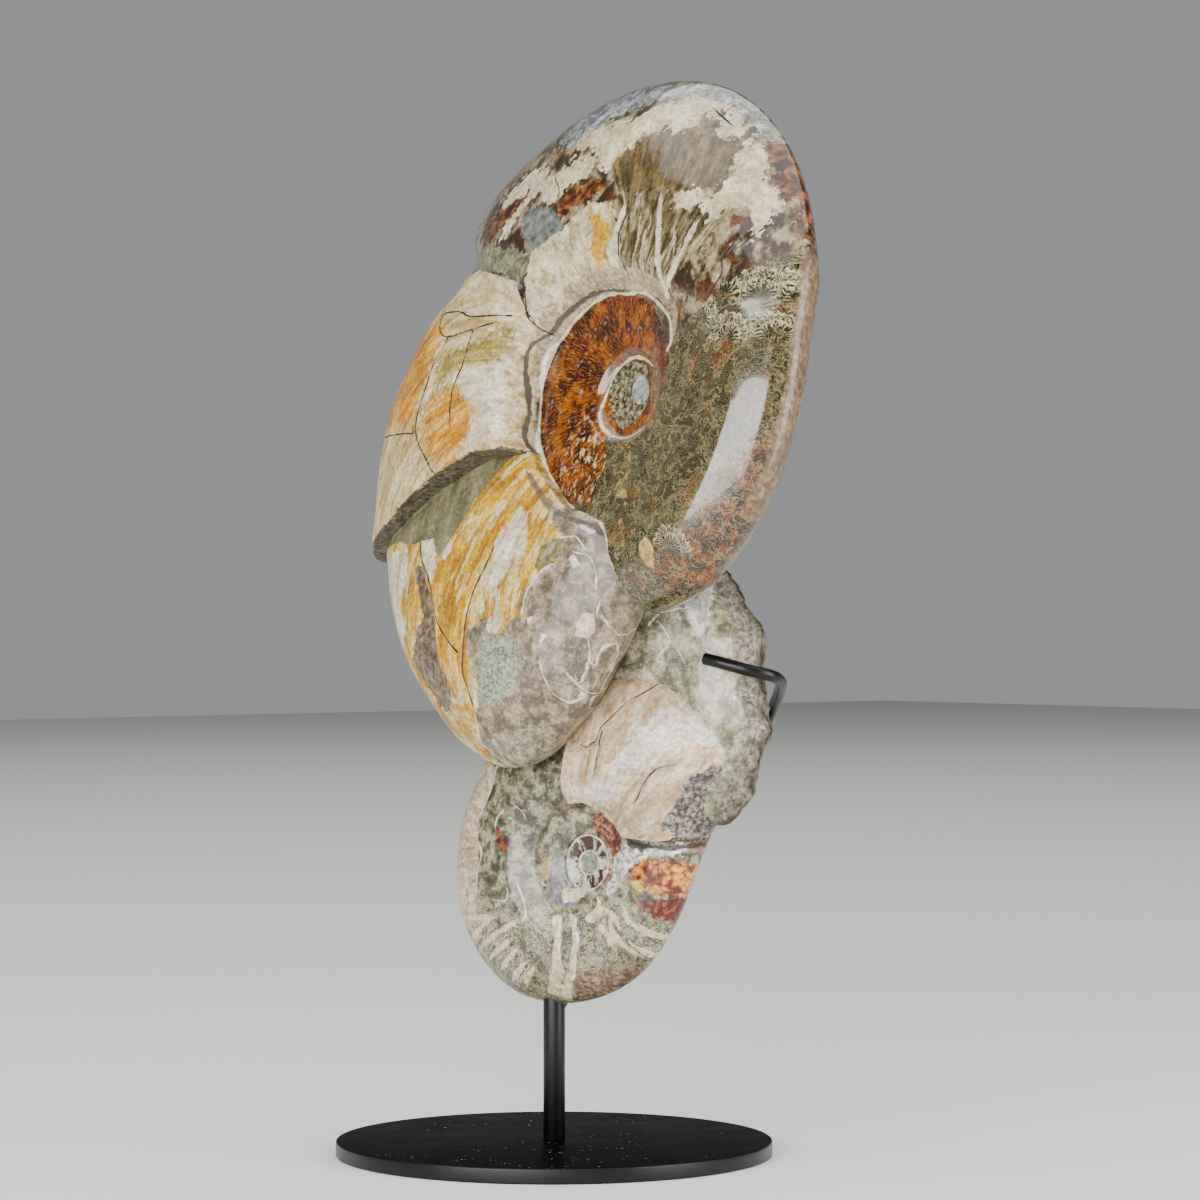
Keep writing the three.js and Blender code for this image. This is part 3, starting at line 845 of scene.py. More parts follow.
# Coloured areas of the small ammonite, in its own plane
SMALL_AREAS = {
    "venter": [
        [(-78, 45), (-53, 42), (-54, 32), (-59, 21), (-61, 8), (-59, -2), (-61, -16), (-59, -25),
         (-66, -34), (-80, -30), (-86, -8), (-88, 10), (-86, 30)],
    ],
    "red grain": [
        [(6, 24), (13, 20), (18, 13), (20, 4), (13, -5), (10, -10), (8, -5), (11, 2), (9, 9),
         (2, 14), (3, 19)],
    ],
    # white calcite, which also carries painted highlights beside the ring
    "calcite and highlight": [
        [(19, 8), (33, 6), (27, 0), (22, -4), (18, -11), (15, -18), (13, -16), (10, -11), (14, -7),
         (14, 0)],
        [(26, 6), (44, 9), (50, 10), (49, 5), (38, 4), (30, 2)],
        [(-26, -9), (-24, -8), (-22, -11), (-24, -14)],
    ],
    "orange": [[(30, 2), (51, 3), (52, -5), (47, -14), (30, -12), (24, -4)]],
    "yellow": [[(25, -8), (29, -7), (33, -11), (29, -13)]],
    "dark red": [
        [(28, -17), (44, -14), (50, -14), (51, -20), (45, -27), (38, -25)],
        [(-49, 14), (-44, 13), (-42, 5), (-40, 2), (-45, 4), (-48, 8)],
    ],
    "right band": [
        [(52, 12), (60, 22), (70, 20), (62, 4), (62, -8), (52, -20), (51, -8), (53, 2)],
    ],
    "ribs": RIBS,
    "violet": [
        [(-18, -1), (-13, 0), (-9, -9), (-1, -14), (-6, -20), (-16, -21), (-21, -15)],
    ],
    "tan chip": [[(-25, 1), (-20, 2), (-20, -5), (-21, -10), (-24, -6)]],
    "pink grain": [
        [(0, -49), (12, -47), (21, -44), (34, -47), (18, -58), (5, -64), (-6, -64), (-5, -56)],
    ],
    # painted shade: the hollow above the ring is darkened as shadow
    "shaded hollow": [
        [(-9, 28), (-1, 29), (9, 28), (18, 23), (14, 20), (3, 25), (-8, 25), (-14, 21), (-22, 20),
         (-19, 25)],
    ],
    # paler part of the pink shell, with a painted sheen of light on its right
    "pink pale and sheen": [
        [(-8, 30), (4, 27), (21, 25), (30, 38), (44, 49), (60, 55), (76, 52), (74, 66), (61, 78),
         (47, 71), (31, 58), (24, 48), (14, 38)],
    ],
    "slope": [SLOPE],
}

# Lines of the small ammonite
SMALL_LINES = {
    "short ribs": SHORT_RIBS,
    "arcs": [
        [(-35, -12), (-32, -18), (-30, -24), (-31, -27)],
        [(-39, 25), (-34, 22), (-33, 20)],
        [(-48, -19), (-41, -19), (-40, -15)],
        [(-45, 22), (-48, 19), (-49, 15)],
        [(-61, 8), (-57, 2), (-59, -6), (-60, -16)],
        [(-53, 42), (-55, 30), (-60, 20)],
    ],
    "pink cracks": PINK_CRACKS,
    # painted shadow: dark line just below the pink shell's lower edge
    "shadow under ledge": [
        [(22, 12), (27, 9.5), (35, 8.5), (43, 8), (52, 9.5), (62, 12.5), (70, 13)],
    ],
}

# Areas of the rock, in the small ammonite's plane
ROCK_WHITE = [
    [(31, 108), (36, 113), (44, 115), (52, 116)], [(35, 92), (42, 101), (37, 108)],
    [(50, 126), (56, 118), (58, 104)], [(62, 96), (66, 90), (72, 92)], [(46, 98), (50, 92)],
]
ROCK_PINK = [(77, 103), (80, 105), (83, 98), (79, 95)]
# The first patch is a white fossil bit; the second is a painted highlight, the white fan of light
# reflected from the polished rock
ROCK_PALE_AND_HIGHLIGHT = [[(75, 77), (79, 80), (82, 73), (79, 68)], [(48, 128), (60, 131), (62, 105), (54, 103)]]
ROUGH_EDGE = [(59, 138), (74, 130), (90, 111), (95, 91), (92, 60), (90, 38), (74, 15), (64, 19),
              (72, 40), (81, 58), (77, 75), (77, 91), (72, 109), (58, 127)]
SNAIL = (84, 60)


def flow_of(points, centre, lean, seam):
    """Coordinates in mm that run across and along the growth lines of a coil."""
    angle, radius = polar(points, centre)
    bent = np.clip((radius - seam) / 110, 0, 2) ** 2
    return np.stack([np.radians(angle) * 95 - lean * bent, radius, points[:, 2]], 1)


def carve_large(points):
    """Relief of the large ammonite's faces, in mm."""
    angle, radius = polar(points)
    flat = points[:, :2]
    front = np.sign(points[:, 2])
    seam = radius_at(LARGE_SEAM, angle)
    reach = radius_at(LARGE_RIM, angle)
    edge = np.clip((reach - radius) / 12, 0, 1)
    lines = along_lines(flat, [SEAM_LINE])
    rise = 0.55 * bump(lines[:, 1], 1.3) * smooth_step(-2, 6, lines[:, 2])
    open_part = smooth_step(40, 62, angle) * (1 - smooth_step(238, 262, angle))
    rise -= 1.5 * bump(radius - seam - 2.6, 1.3) * open_part
    core = along_lines(flat, [CORE_LINE])
    rise += 0.35 * bump(core[:, 1], 1.2) - 0.5 * bump(core[:, 0] + 2.2, 1.1) * (core[:, 1] < 6)
    wall = smooth_step(seam, seam + 2, radius) * (1 - smooth_step(seam + 8, seam + 12, radius))
    rise += 0.16 * wall * open_part * np.sin(np.radians(angle) * 90 + 0.1 * radius)
    shell = inside(flat, SHELL)
    flow = flow_of(points, *LARGE_GROWTH)
    growth = np.sin(flow[:, 0] / 2.6 + 0.6 * ripple(flow[:, 0] / 9, radius / 14))
    lift = smooth_step(-0.8, 0.8, shell)
    rise += edge * lift * (1.0 + 0.16 * growth + 0.35 * ripple(flow[:, 0] / 12, radius / 26))
    cracks = along_lines(flat, LARGE_CRACKS)
    rise -= 0.7 * bump(cracks[:, 1], 0.9) * edge
    rise -= 0.8 * bump(inside(flat, GREY_STRIP), 1.0) * edge
    rise += edge * 0.22 * ripple(flat[:, 0] / 11, flat[:, 1] / 13) * smooth_step(20, 60, radius)
    ledge = along_lines(flat, [BREAK[1:6]])
    rise -= 1.3 * bump(ledge[:, 1], 1.6)
    points[:, 2] += front * rise
    return points


def carve_chamber(points):
    """Relief of the body chamber's shell and sediment, in mm."""
    flat = points[:, :2]
    front = np.sign(points[:, 2] + 3)
    flow = flow_of(points, *LARGE_GROWTH)
    _, radius = polar(points)
    stone = inside(flat, SEDIMENT)
    rise = -1.3 * smooth_step(-0.8, 0.8, stone)
    rise -= 0.9 * smooth_step(-0.7, 0.7, inside(flat, DARK_STRIP, BROWN_PATCH))
    rise += 0.3 * ripple(flow[:, 0] / 10, radius / 24)
    rise += smooth_step(-0.5, 2, stone) * 0.45 * ripple(flat[:, 0] / 4, flat[:, 1] / 4.5)
    rise -= 0.8 * bump(along_lines(flat, CHAMBER_CRACKS)[:, 1], 0.9)
    rise += 0.45 * bump(along_lines(flat, SHELL_LINES)[:, 1], 0.8)
    ledge = along_lines(flat, [[(x, y - 1) for x, y in BREAK[1:]]])
    rise -= 0.9 * bump(ledge[:, 1], 2.2)
    points[:, 2] += front * rise
    return points


def carve_small(points, rise_of_shell):
    """Relief of the small ammonite's faces or of its pink shell, in mm."""
    angle, radius = polar(points)
    flat = points[:, :2]
    front = np.sign(points[:, 2])
    seam = radius_at(SMALL_SEAM, angle)
    reach = radius_at(SMALL_RIM, angle)
    edge = np.clip((reach - radius) / 8, 0, 1)
    core = radius_at(SMALL_CORE, angle)
    rise = 0.5 * bump(radius - core, 0.9) - 0.7 * bump(radius - core - 2.2, 1.2)
    rise += 0.35 * bump(radius - HUB_RADIUS, 0.7) - 0.4 * bump(radius - 7.4, 0.9)
    wall = smooth_step(20, 60, angle) * (1 - smooth_step(150, 215, angle))
    rise -= 1.0 * bump(radius - seam - 1.6, 1.4) * wall
    rise += edge * 0.16 * ripple(flat[:, 0] / 7, flat[:, 1] / 8)
    ribs = np.maximum(inside(flat, *RIBS), 1.5 - along_lines(flat, SHORT_RIBS)[:, 1])
    rise += 0.22 * smooth_step(-0.5, 0.8, ribs) * edge
    if rise_of_shell:
        rise -= 0.6 * bump(along_lines(flat, PINK_CRACKS)[:, 1], 0.8)
        rise += edge * 0.4 * ripple(flat[:, 0] / 9 + 2, flat[:, 1] / 14)
        broken = inside(flat, SLOPE)
        sink = smooth_step(-1, 14, broken)
        rise -= edge * (6.5 * sink + 1.3 * smooth_step(-1, 2, broken)
                        * ripple(flat[:, 0] / 2.6, flat[:, 1] / 2.4))
    points[:, 2] += front * rise
    return points


def carve_rock(points):
    """Relief of the rock: rough edge and back, and a small coiled shell, in mm."""
    flat = points[:, :2]
    front = points[:, 2] > 0
    rough = smooth_step(-1.5, 3, inside(flat, ROUGH_EDGE))
    coarse = ripple(flat[:, 0] / 2.7, flat[:, 1] / 2.5) + 0.5 * ripple(
        flat[:, 0] / 1.2, flat[:, 1] / 1.1, 2.0)
    back = ripple(flat[:, 0] / 5, flat[:, 1] / 5.5, 1.0) + 0.4 * ripple(
        flat[:, 0] / 2, flat[:, 1] / 2.2, 4.0)
    away = flat - np.array(SNAIL)
    snail = np.hypot(away[:, 0], away[:, 1])
    whorl = np.cos(snail * 2.1 - np.arctan2(away[:, 1], away[:, 0])) * bump(snail, 4.5)
    on_front = -3.0 * rough + 1.2 * rough * coarse + 0.12 * ripple(flat[:, 0] / 6, flat[:, 1] / 6)
    points[:, 2] += np.where(front, on_front + 0.8 * whorl, -1.3 * back)
    sway = 1.6 * ripple(points[:, 1] / 2.4, points[:, 2] / 3) * rough
    points[:, 0] += np.where(flat[:, 0] > ROCK_CENTRE[0], sway, 0)
    return points


# Stone and steel


# The colours below are as lit; DEPTH takes them down to the stone's own and CHROMA enlivens them
DISPLAY_GAMMA = 2.2
DEPTH = 1.24
CHROMA = 1.16
# Roughness of broken and of polished stone, and the polish's share, roughness and strength
BROKEN_ROUGHNESS = 0.62
POLISHED_ROUGHNESS = 0.2
POLISH_SHARE = 0.85
POLISH_ROUGHNESS = 0.06
POLISH_IOR = 1.6


def tone(code):
    """Linear colour from a six-figure display colour, a little deeper and more vivid."""
    parts = [(int(code[i:i + 2], 16) / 255) ** (DISPLAY_GAMMA * DEPTH) for i in (0, 2, 4)]
    grey = sum(parts) / 3
    return (*[max(0.0, grey + CHROMA * (part - grey)) for part in parts], 1.0)


def group(name, inputs, outputs):
    """New shader group, with its wiring and its inputs by name."""
    tree = bpy.data.node_groups.new(name, "ShaderNodeTree")
    wire = Wiring(tree)
    return tree, wire, wire.sockets(inputs, outputs)


def scaled(wire, where, size, stretch=None):
    """Texture coordinates in units of the pattern's size, drawn out along the second axis."""
    one = wire.math("DIVIDE", 1.0, size)
    along = one if stretch is None else wire.math("DIVIDE", one, stretch)
    both = wire.node("ShaderNodeCombineXYZ", one, along, one)
    return wire.node("ShaderNodeVectorMath", where, both.outputs[0], operation="MULTIPLY").outputs[0]


def grain(wire, where, size, stretch=None, detail=5.0, rough=0.6, warp=0.0):
    """Cloudy noise from 0 to 1 with grains of the given size in mm."""
    noise = wire.node("ShaderNodeTexNoise")
    for label, value in (("Vector", scaled(wire, where, size, stretch)), ("Scale", 1.0),
                         ("Detail", detail), ("Roughness", rough), ("Distortion", warp)):
        wire.feed(noise.inputs[label], value)
    return noise.outputs[0]


def mottle_group():
    """Three tones clouded into each other."""
    tree, wire, given = group(
        "Mottle",
        [("Where", VECTOR, None), ("Size", REAL, 5.0), ("Stretch", REAL, 1.0),
         ("Contrast", REAL, 1.0), ("Dark", COLOUR, None), ("Middle", COLOUR, None),
         ("Light", COLOUR, None)],
        [("Colour", COLOUR), ("Value", REAL)],
    )
    cloud = grain(wire, given["Where"], given["Size"], given["Stretch"], 6, 0.62, 0.3)
    spread = wire.math("MULTIPLY_ADD", wire.math("SUBTRACT", cloud, 0.5), given["Contrast"], 0.5)
    low = wire.blend(wire.spread(spread, 0.3, 0.5), given["Dark"], given["Middle"])
    clouded = wire.blend(wire.spread(spread, 0.5, 0.7), low, given["Light"])
    wire.deliver(clouded, spread)
    return tree


def ragged_group():
    """Mask of an area from the distance to its outline, with a frayed edge."""
    tree, wire, given = group(
        "Frayed Area",
        [("Distance", REAL, 0.0), ("Where", VECTOR, None), ("Fray", REAL, 2.0), ("Soft", REAL, 0.6),
         ("Fray Size", REAL, 4.0)],
        [("Mask", REAL)],
    )
    cloud = wire.math("SUBTRACT", grain(wire, given["Where"], given["Fray Size"], None, 5, 0.6), 0.5)
    frayed = wire.math("MULTIPLY_ADD", cloud, wire.math("MULTIPLY", given["Fray"], 3.0),
                       given["Distance"])
    wire.deliver(wire.math("MULTIPLY_ADD", frayed, wire.math("DIVIDE", 1.0, given["Soft"]), 0.5,
                           clamp=True))
    return tree


def thread_group():
    """Mask of thin lines from the signed and the plain distance to them."""
    tree, wire, given = group(
        "Thread",
        [("Line", VECTOR, None), ("Where", VECTOR, None), ("Width", REAL, 1.0),
         ("Waver", REAL, 0.8)],
        [("Mask", REAL)],
    )
    parts = wire.node("ShaderNodeSeparateXYZ", given["Line"])
    cloud = wire.math("SUBTRACT", grain(wire, given["Where"], 3.0, None, 4, 0.6), 0.5)
    side = wire.math("ABSOLUTE", wire.math("MULTIPLY_ADD", cloud, given["Waver"], parts.outputs[0]))
    half = wire.math("MULTIPLY", given["Width"], wire.math(
        "MULTIPLY_ADD", grain(wire, given["Where"], 7.0, None, 2, 0.5), 1.2, -0.1))
    close = wire.spread(side, wire.math("MULTIPLY", half, 0.6), half, 1, 0)
    near = wire.spread(parts.outputs[1], wire.math("ADD", half, 1.2), wire.math("ADD", half, 2.0),
                       1, 0)
    wire.deliver(wire.math("MULTIPLY", close, near))
    return tree


def lace_group():
    """Frilled suture lines: fans of petals with pale outlines and dark hearts."""
    tree, wire, given = group(
        "Suture Lace",
        [("Where", VECTOR, None), ("Size", REAL, 5.0), ("Petals", REAL, 9.0), ("Width", REAL, 0.2)],
        [("Pale", REAL), ("Dark", REAL)],
    )
    where = scaled(wire, given["Where"], given["Size"])
    sway = wire.node("ShaderNodeTexNoise")
    for label, value in (("Vector", where), ("Scale", 1.7), ("Detail", 3.0), ("Roughness", 0.62)):
        wire.feed(sway.inputs[label], value)
    shift = wire.node("ShaderNodeVectorMath", sway.outputs[1], (0.5, 0.5, 0.5),
                      operation="SUBTRACT").outputs[0]
    bent = wire.node("ShaderNodeVectorMath", shift, (0.32, 0.32, 0.32), where,
                     operation="MULTIPLY_ADD").outputs[0]
    cells = wire.node("ShaderNodeTexVoronoi")
    wire.feed(cells.inputs["Vector"], bent)
    wire.feed(cells.inputs["Scale"], 1.0)
    arm = wire.node("ShaderNodeVectorMath", bent, cells.outputs["Position"], operation="SUBTRACT")
    part = wire.node("ShaderNodeSeparateXYZ", arm.outputs[0])
    turn = wire.math("DIVIDE", wire.math("ARCTAN2", part.outputs[1], part.outputs[0]), 2 * math.pi)
    far = cells.outputs["Distance"]
    waver = wire.math("MULTIPLY", wire.math("SINE", wire.math("MULTIPLY", far, 17.0)), 0.06)
    count = wire.math("MULTIPLY_ADD", wire.math("ADD", turn, waver), given["Petals"], 40.0)
    fold = wire.math("PINGPONG", count, 0.5)
    tip = wire.math("PINGPONG", wire.math("MULTIPLY_ADD", sway.outputs[0], 2.6, wire.math(
        "MULTIPLY", far, 1.1)), 0.5)
    petal = wire.math("MINIMUM", fold, wire.math("MULTIPLY", tip, 1.2))
    pale = wire.spread(petal, given["Width"], wire.math("MULTIPLY", given["Width"], 0.5), 0, 1)
    heart = wire.math("SUBTRACT", 0.5, fold)
    dark = wire.spread(heart, wire.math("MULTIPLY", given["Width"], 1.1),
                       wire.math("MULTIPLY", given["Width"], 0.6), 0, 1)
    wire.deliver(pale, dark)
    return tree


def frond_group():
    """A fan of lobes that spring from one root, with pale outlines and dark hearts."""
    tree, wire, given = group(
        "Frond",
        [("Place", VECTOR, None), ("Where", VECTOR, None), ("Lobes", REAL, 13.0)],
        [("Pale", REAL), ("Dark", REAL)],
    )
    sway = wire.math("SUBTRACT", grain(wire, given["Where"], 4.0, None, 3, 0.6), 0.5)
    part = wire.node("ShaderNodeSeparateXYZ", given["Place"])
    across = wire.math("MULTIPLY_ADD", sway, 0.22, part.outputs[0])
    far = wire.node("ShaderNodeVectorMath", wire.node(
        "ShaderNodeCombineXYZ", across, part.outputs[1], 0.0).outputs[0], operation="LENGTH").outputs[1]
    turn = wire.math("DIVIDE", wire.math("ARCTAN2", across, part.outputs[1]), 2 * math.pi)
    count = wire.math("MULTIPLY_ADD", wire.math("MULTIPLY_ADD", sway, 0.13, turn), given["Lobes"],
                      part.outputs[2])
    fold = wire.math("PINGPONG", count, 0.5)
    round_end = wire.math("POWER", wire.math("MULTIPLY", fold, 2.0), 0.5)
    reach = wire.math("MULTIPLY_ADD", round_end, 0.24, wire.math("MULTIPLY_ADD", sway, 0.6, 0.66))
    rim = wire.math("ABSOLUTE", wire.math("SUBTRACT", far, reach))
    second = wire.math("ABSOLUTE", wire.math("SUBTRACT", far, wire.math("MULTIPLY", reach, 0.62)))
    twig = wire.math("PINGPONG", wire.math("MULTIPLY", count, 2.0), 0.5)
    inner = wire.spread(wire.math("SUBTRACT", reach, far), 0.0, 0.03)
    outer = wire.spread(far, 0.55, 0.65)
    width = wire.math("DIVIDE", 0.045, wire.math("MAXIMUM", far, 0.15))
    split = wire.spread(fold, width, wire.math("MULTIPLY", width, 1.6), 1, 0)
    split = wire.math("MULTIPLY", split, wire.spread(far, 0.25, 0.4))
    twigs = wire.math("MULTIPLY", wire.spread(twig, 0.1, 0.16, 1, 0), outer)
    lines = wire.math("MAXIMUM", wire.math("MAXIMUM", split, twigs),
                      wire.spread(second, 0.03, 0.05, 0.7, 0))
    lines = wire.math("MULTIPLY", lines, inner)
    shown = wire.spread(part.outputs[1], -0.25, 0.05)
    pale = wire.math("MULTIPLY", wire.math("MAXIMUM", lines, wire.spread(rim, 0.04, 0.06, 1, 0)), shown)
    heart = wire.math("MULTIPLY", wire.spread(fold, 0.3, 0.42), inner)
    dark = wire.math("MULTIPLY", wire.math("SUBTRACT", heart, pale, clamp=True), shown)
    wire.deliver(pale, dark)
    return tree


def use(wire, tree, **values):
    """Place a group with the given inputs and return its outputs."""
    made = wire.node("ShaderNodeGroup", node_tree=tree)
    for name, value in values.items():
        wire.feed(made.inputs[name.replace("_", " ")], value)
    return made.outputs


def attribute(wire, name):
    """Outputs of a value kept on the mesh's points: colour, vector and factor."""
    return wire.node("ShaderNodeAttribute", attribute_name=name).outputs


class Stone:
    """A stone material painted in layers: areas, laces and threads over a mottled ground."""

    def __init__(self, name, ground, gloss, groups):
        self.material = bpy.data.materials.new(name)
        self.material.use_nodes = True
        self.material.node_tree.nodes.clear()
        self.wire = Wiring(self.material.node_tree)
        self.groups = groups
        self.sheet = attribute(self.wire, "sheet")[1]
        self.flow = attribute(self.wire, "flow")[1]
        self.colour = self.mottle(*ground)
        self.gloss = gloss
        self.height = 0.0

    def mottle(self, colours, size, stretch=1.0, contrast=1.6, along=False):
        """Dark, middle and light tones clouded together, along the growth lines if asked."""
        dark, middle, light = [tone(code) for code in colours]
        return use(self.wire, self.groups["Mottle"], Where=self.flow if along else self.sheet,
                   Size=size, Stretch=stretch, Contrast=contrast, Dark=dark, Middle=middle,
                   Light=light)[0]

    def mask(self, name, fray=2.0, soft=0.6):
        """1 inside a stored area and 0 outside, frayed and softened at the edge by so many mm."""
        distance = attribute(self.wire, name)[2]
        return use(self.wire, self.groups["Frayed Area"], Distance=distance, Where=self.sheet,
                   Fray=fray, Soft=soft)[0]

    def thread_mask(self, name, width, waver=0.8):
        """1 on stored lines of the given half width in mm."""
        return use(self.wire, self.groups["Thread"], Line=attribute(self.wire, name)[1],
                   Where=self.sheet, Width=width, Waver=waver)[0]

    def lay(self, mask, colour, gloss=None, height=0.0, strength=1.0):
        """Cover what the mask shows with a colour, and change polish and height there."""
        if strength != 1.0:
            mask = self.wire.math("MULTIPLY", mask, strength)
        colour = tone(colour) if isinstance(colour, str) else colour
        self.colour = self.wire.blend(mask, self.colour, colour)
        if gloss is not None:
            self.gloss = self.wire.blend(mask, self.gloss, gloss)
        if height:
            self.height = self.wire.math("MULTIPLY_ADD", mask, height, self.height)

    def area(self, name, colours, size=5.0, stretch=1.0, fray=2.0, soft=0.6, gloss=None,
             along=False, contrast=1.6):
        """Cover a stored area with three clouded tones."""
        self.lay(self.mask(name, fray, soft),
                 self.mottle(colours, size, stretch, contrast, along), gloss)

    def lace(self, pale, dark, size, width, within, petals, strength):
        """Draw frilled suture lines over what a mask shows."""
        made = use(self.wire, self.groups["Suture Lace"], Where=self.sheet, Size=size,
                   Petals=petals, Width=width)
        for share, colour in ((made[1], dark), (made[0], pale)):
            self.lay(self.wire.math("MULTIPLY", share, within), colour, strength=strength)

    def fronds(self, pale, dark, lobes, strength):
        """Draw the fans of lobes whose roots are stored on the mesh."""
        made = use(self.wire, self.groups["Frond"], Place=attribute(self.wire, "frond")[1],
                   Where=self.sheet, Lobes=lobes)
        self.lay(made[1], dark, strength=strength)
        self.lay(made[0], pale, strength=strength)

    def specks(self, colour, size, threshold, within=None, stretch=1.0, along=False, strength=1.0):
        """Scatter specks of one colour; a higher threshold leaves fewer."""
        cloud = grain(self.wire, self.flow if along else self.sheet, size, stretch, 3, 0.6, 0.4)
        share = self.wire.spread(cloud, threshold, threshold + 0.04)
        if within is not None:
            share = self.wire.math("MULTIPLY", share, within)
        self.lay(share, colour, strength=strength)

    def finish(self, bump_depth=0.0006):
        """Feed the layers to the shader, with fine grain and pits that polish smooths away."""
        wire = self.wire
        shader = wire.node("ShaderNodeBsdfPrincipled")
        fine = grain(wire, self.sheet, 1.4, None, 6, 0.7)
        coarse = grain(wire, self.sheet, 6.0, None, 4, 0.6)
        dull = wire.math("SUBTRACT", 1.0, self.gloss, clamp=True)
        height = wire.math("MULTIPLY_ADD", fine, wire.math("MULTIPLY_ADD", dull, 0.8, 0.015),
                           self.height)
        height = wire.math("MULTIPLY_ADD", coarse, wire.math("MULTIPLY_ADD", dull, 0.8, 0.06), height)
        bumped = wire.node("ShaderNodeBump")
        bumped.inputs["Distance"].default_value = bump_depth
        bumped.inputs["Strength"].default_value = 0.9
        wire.feed(bumped.inputs["Height"], height)
        pits = wire.spread(grain(wire, self.sheet, 2.2, None, 6, 0.75), 0.34, 0.6, 0.42, 1.16)
        stain = wire.spread(grain(wire, self.sheet, 14.0, None, 5, 0.65), 0.35, 0.65, 0.72, 1.12)
        worn = wire.node("ShaderNodeVectorMath", self.colour, operation="SCALE")
        wire.feed(worn.inputs["Scale"], wire.math("MULTIPLY", pits, stain))
        wire.feed(shader.inputs["Base Color"], worn.outputs[0])
        wire.feed(shader.inputs["Roughness"], wire.blend(
            self.gloss, BROKEN_ROUGHNESS, POLISHED_ROUGHNESS))
        wire.feed(shader.inputs["Coat Weight"], wire.math("MULTIPLY", self.gloss, POLISH_SHARE))
        shader.inputs["Coat Roughness"].default_value = POLISH_ROUGHNESS
        shader.inputs["Coat IOR"].default_value = POLISH_IOR
        shader.inputs["Specular IOR Level"].default_value = 0.4
        wire.feed(shader.inputs["Normal"], bumped.outputs[0])
        wire.feed(wire.node("ShaderNodeOutputMaterial").inputs[0], shader.outputs[0])
        return self.material


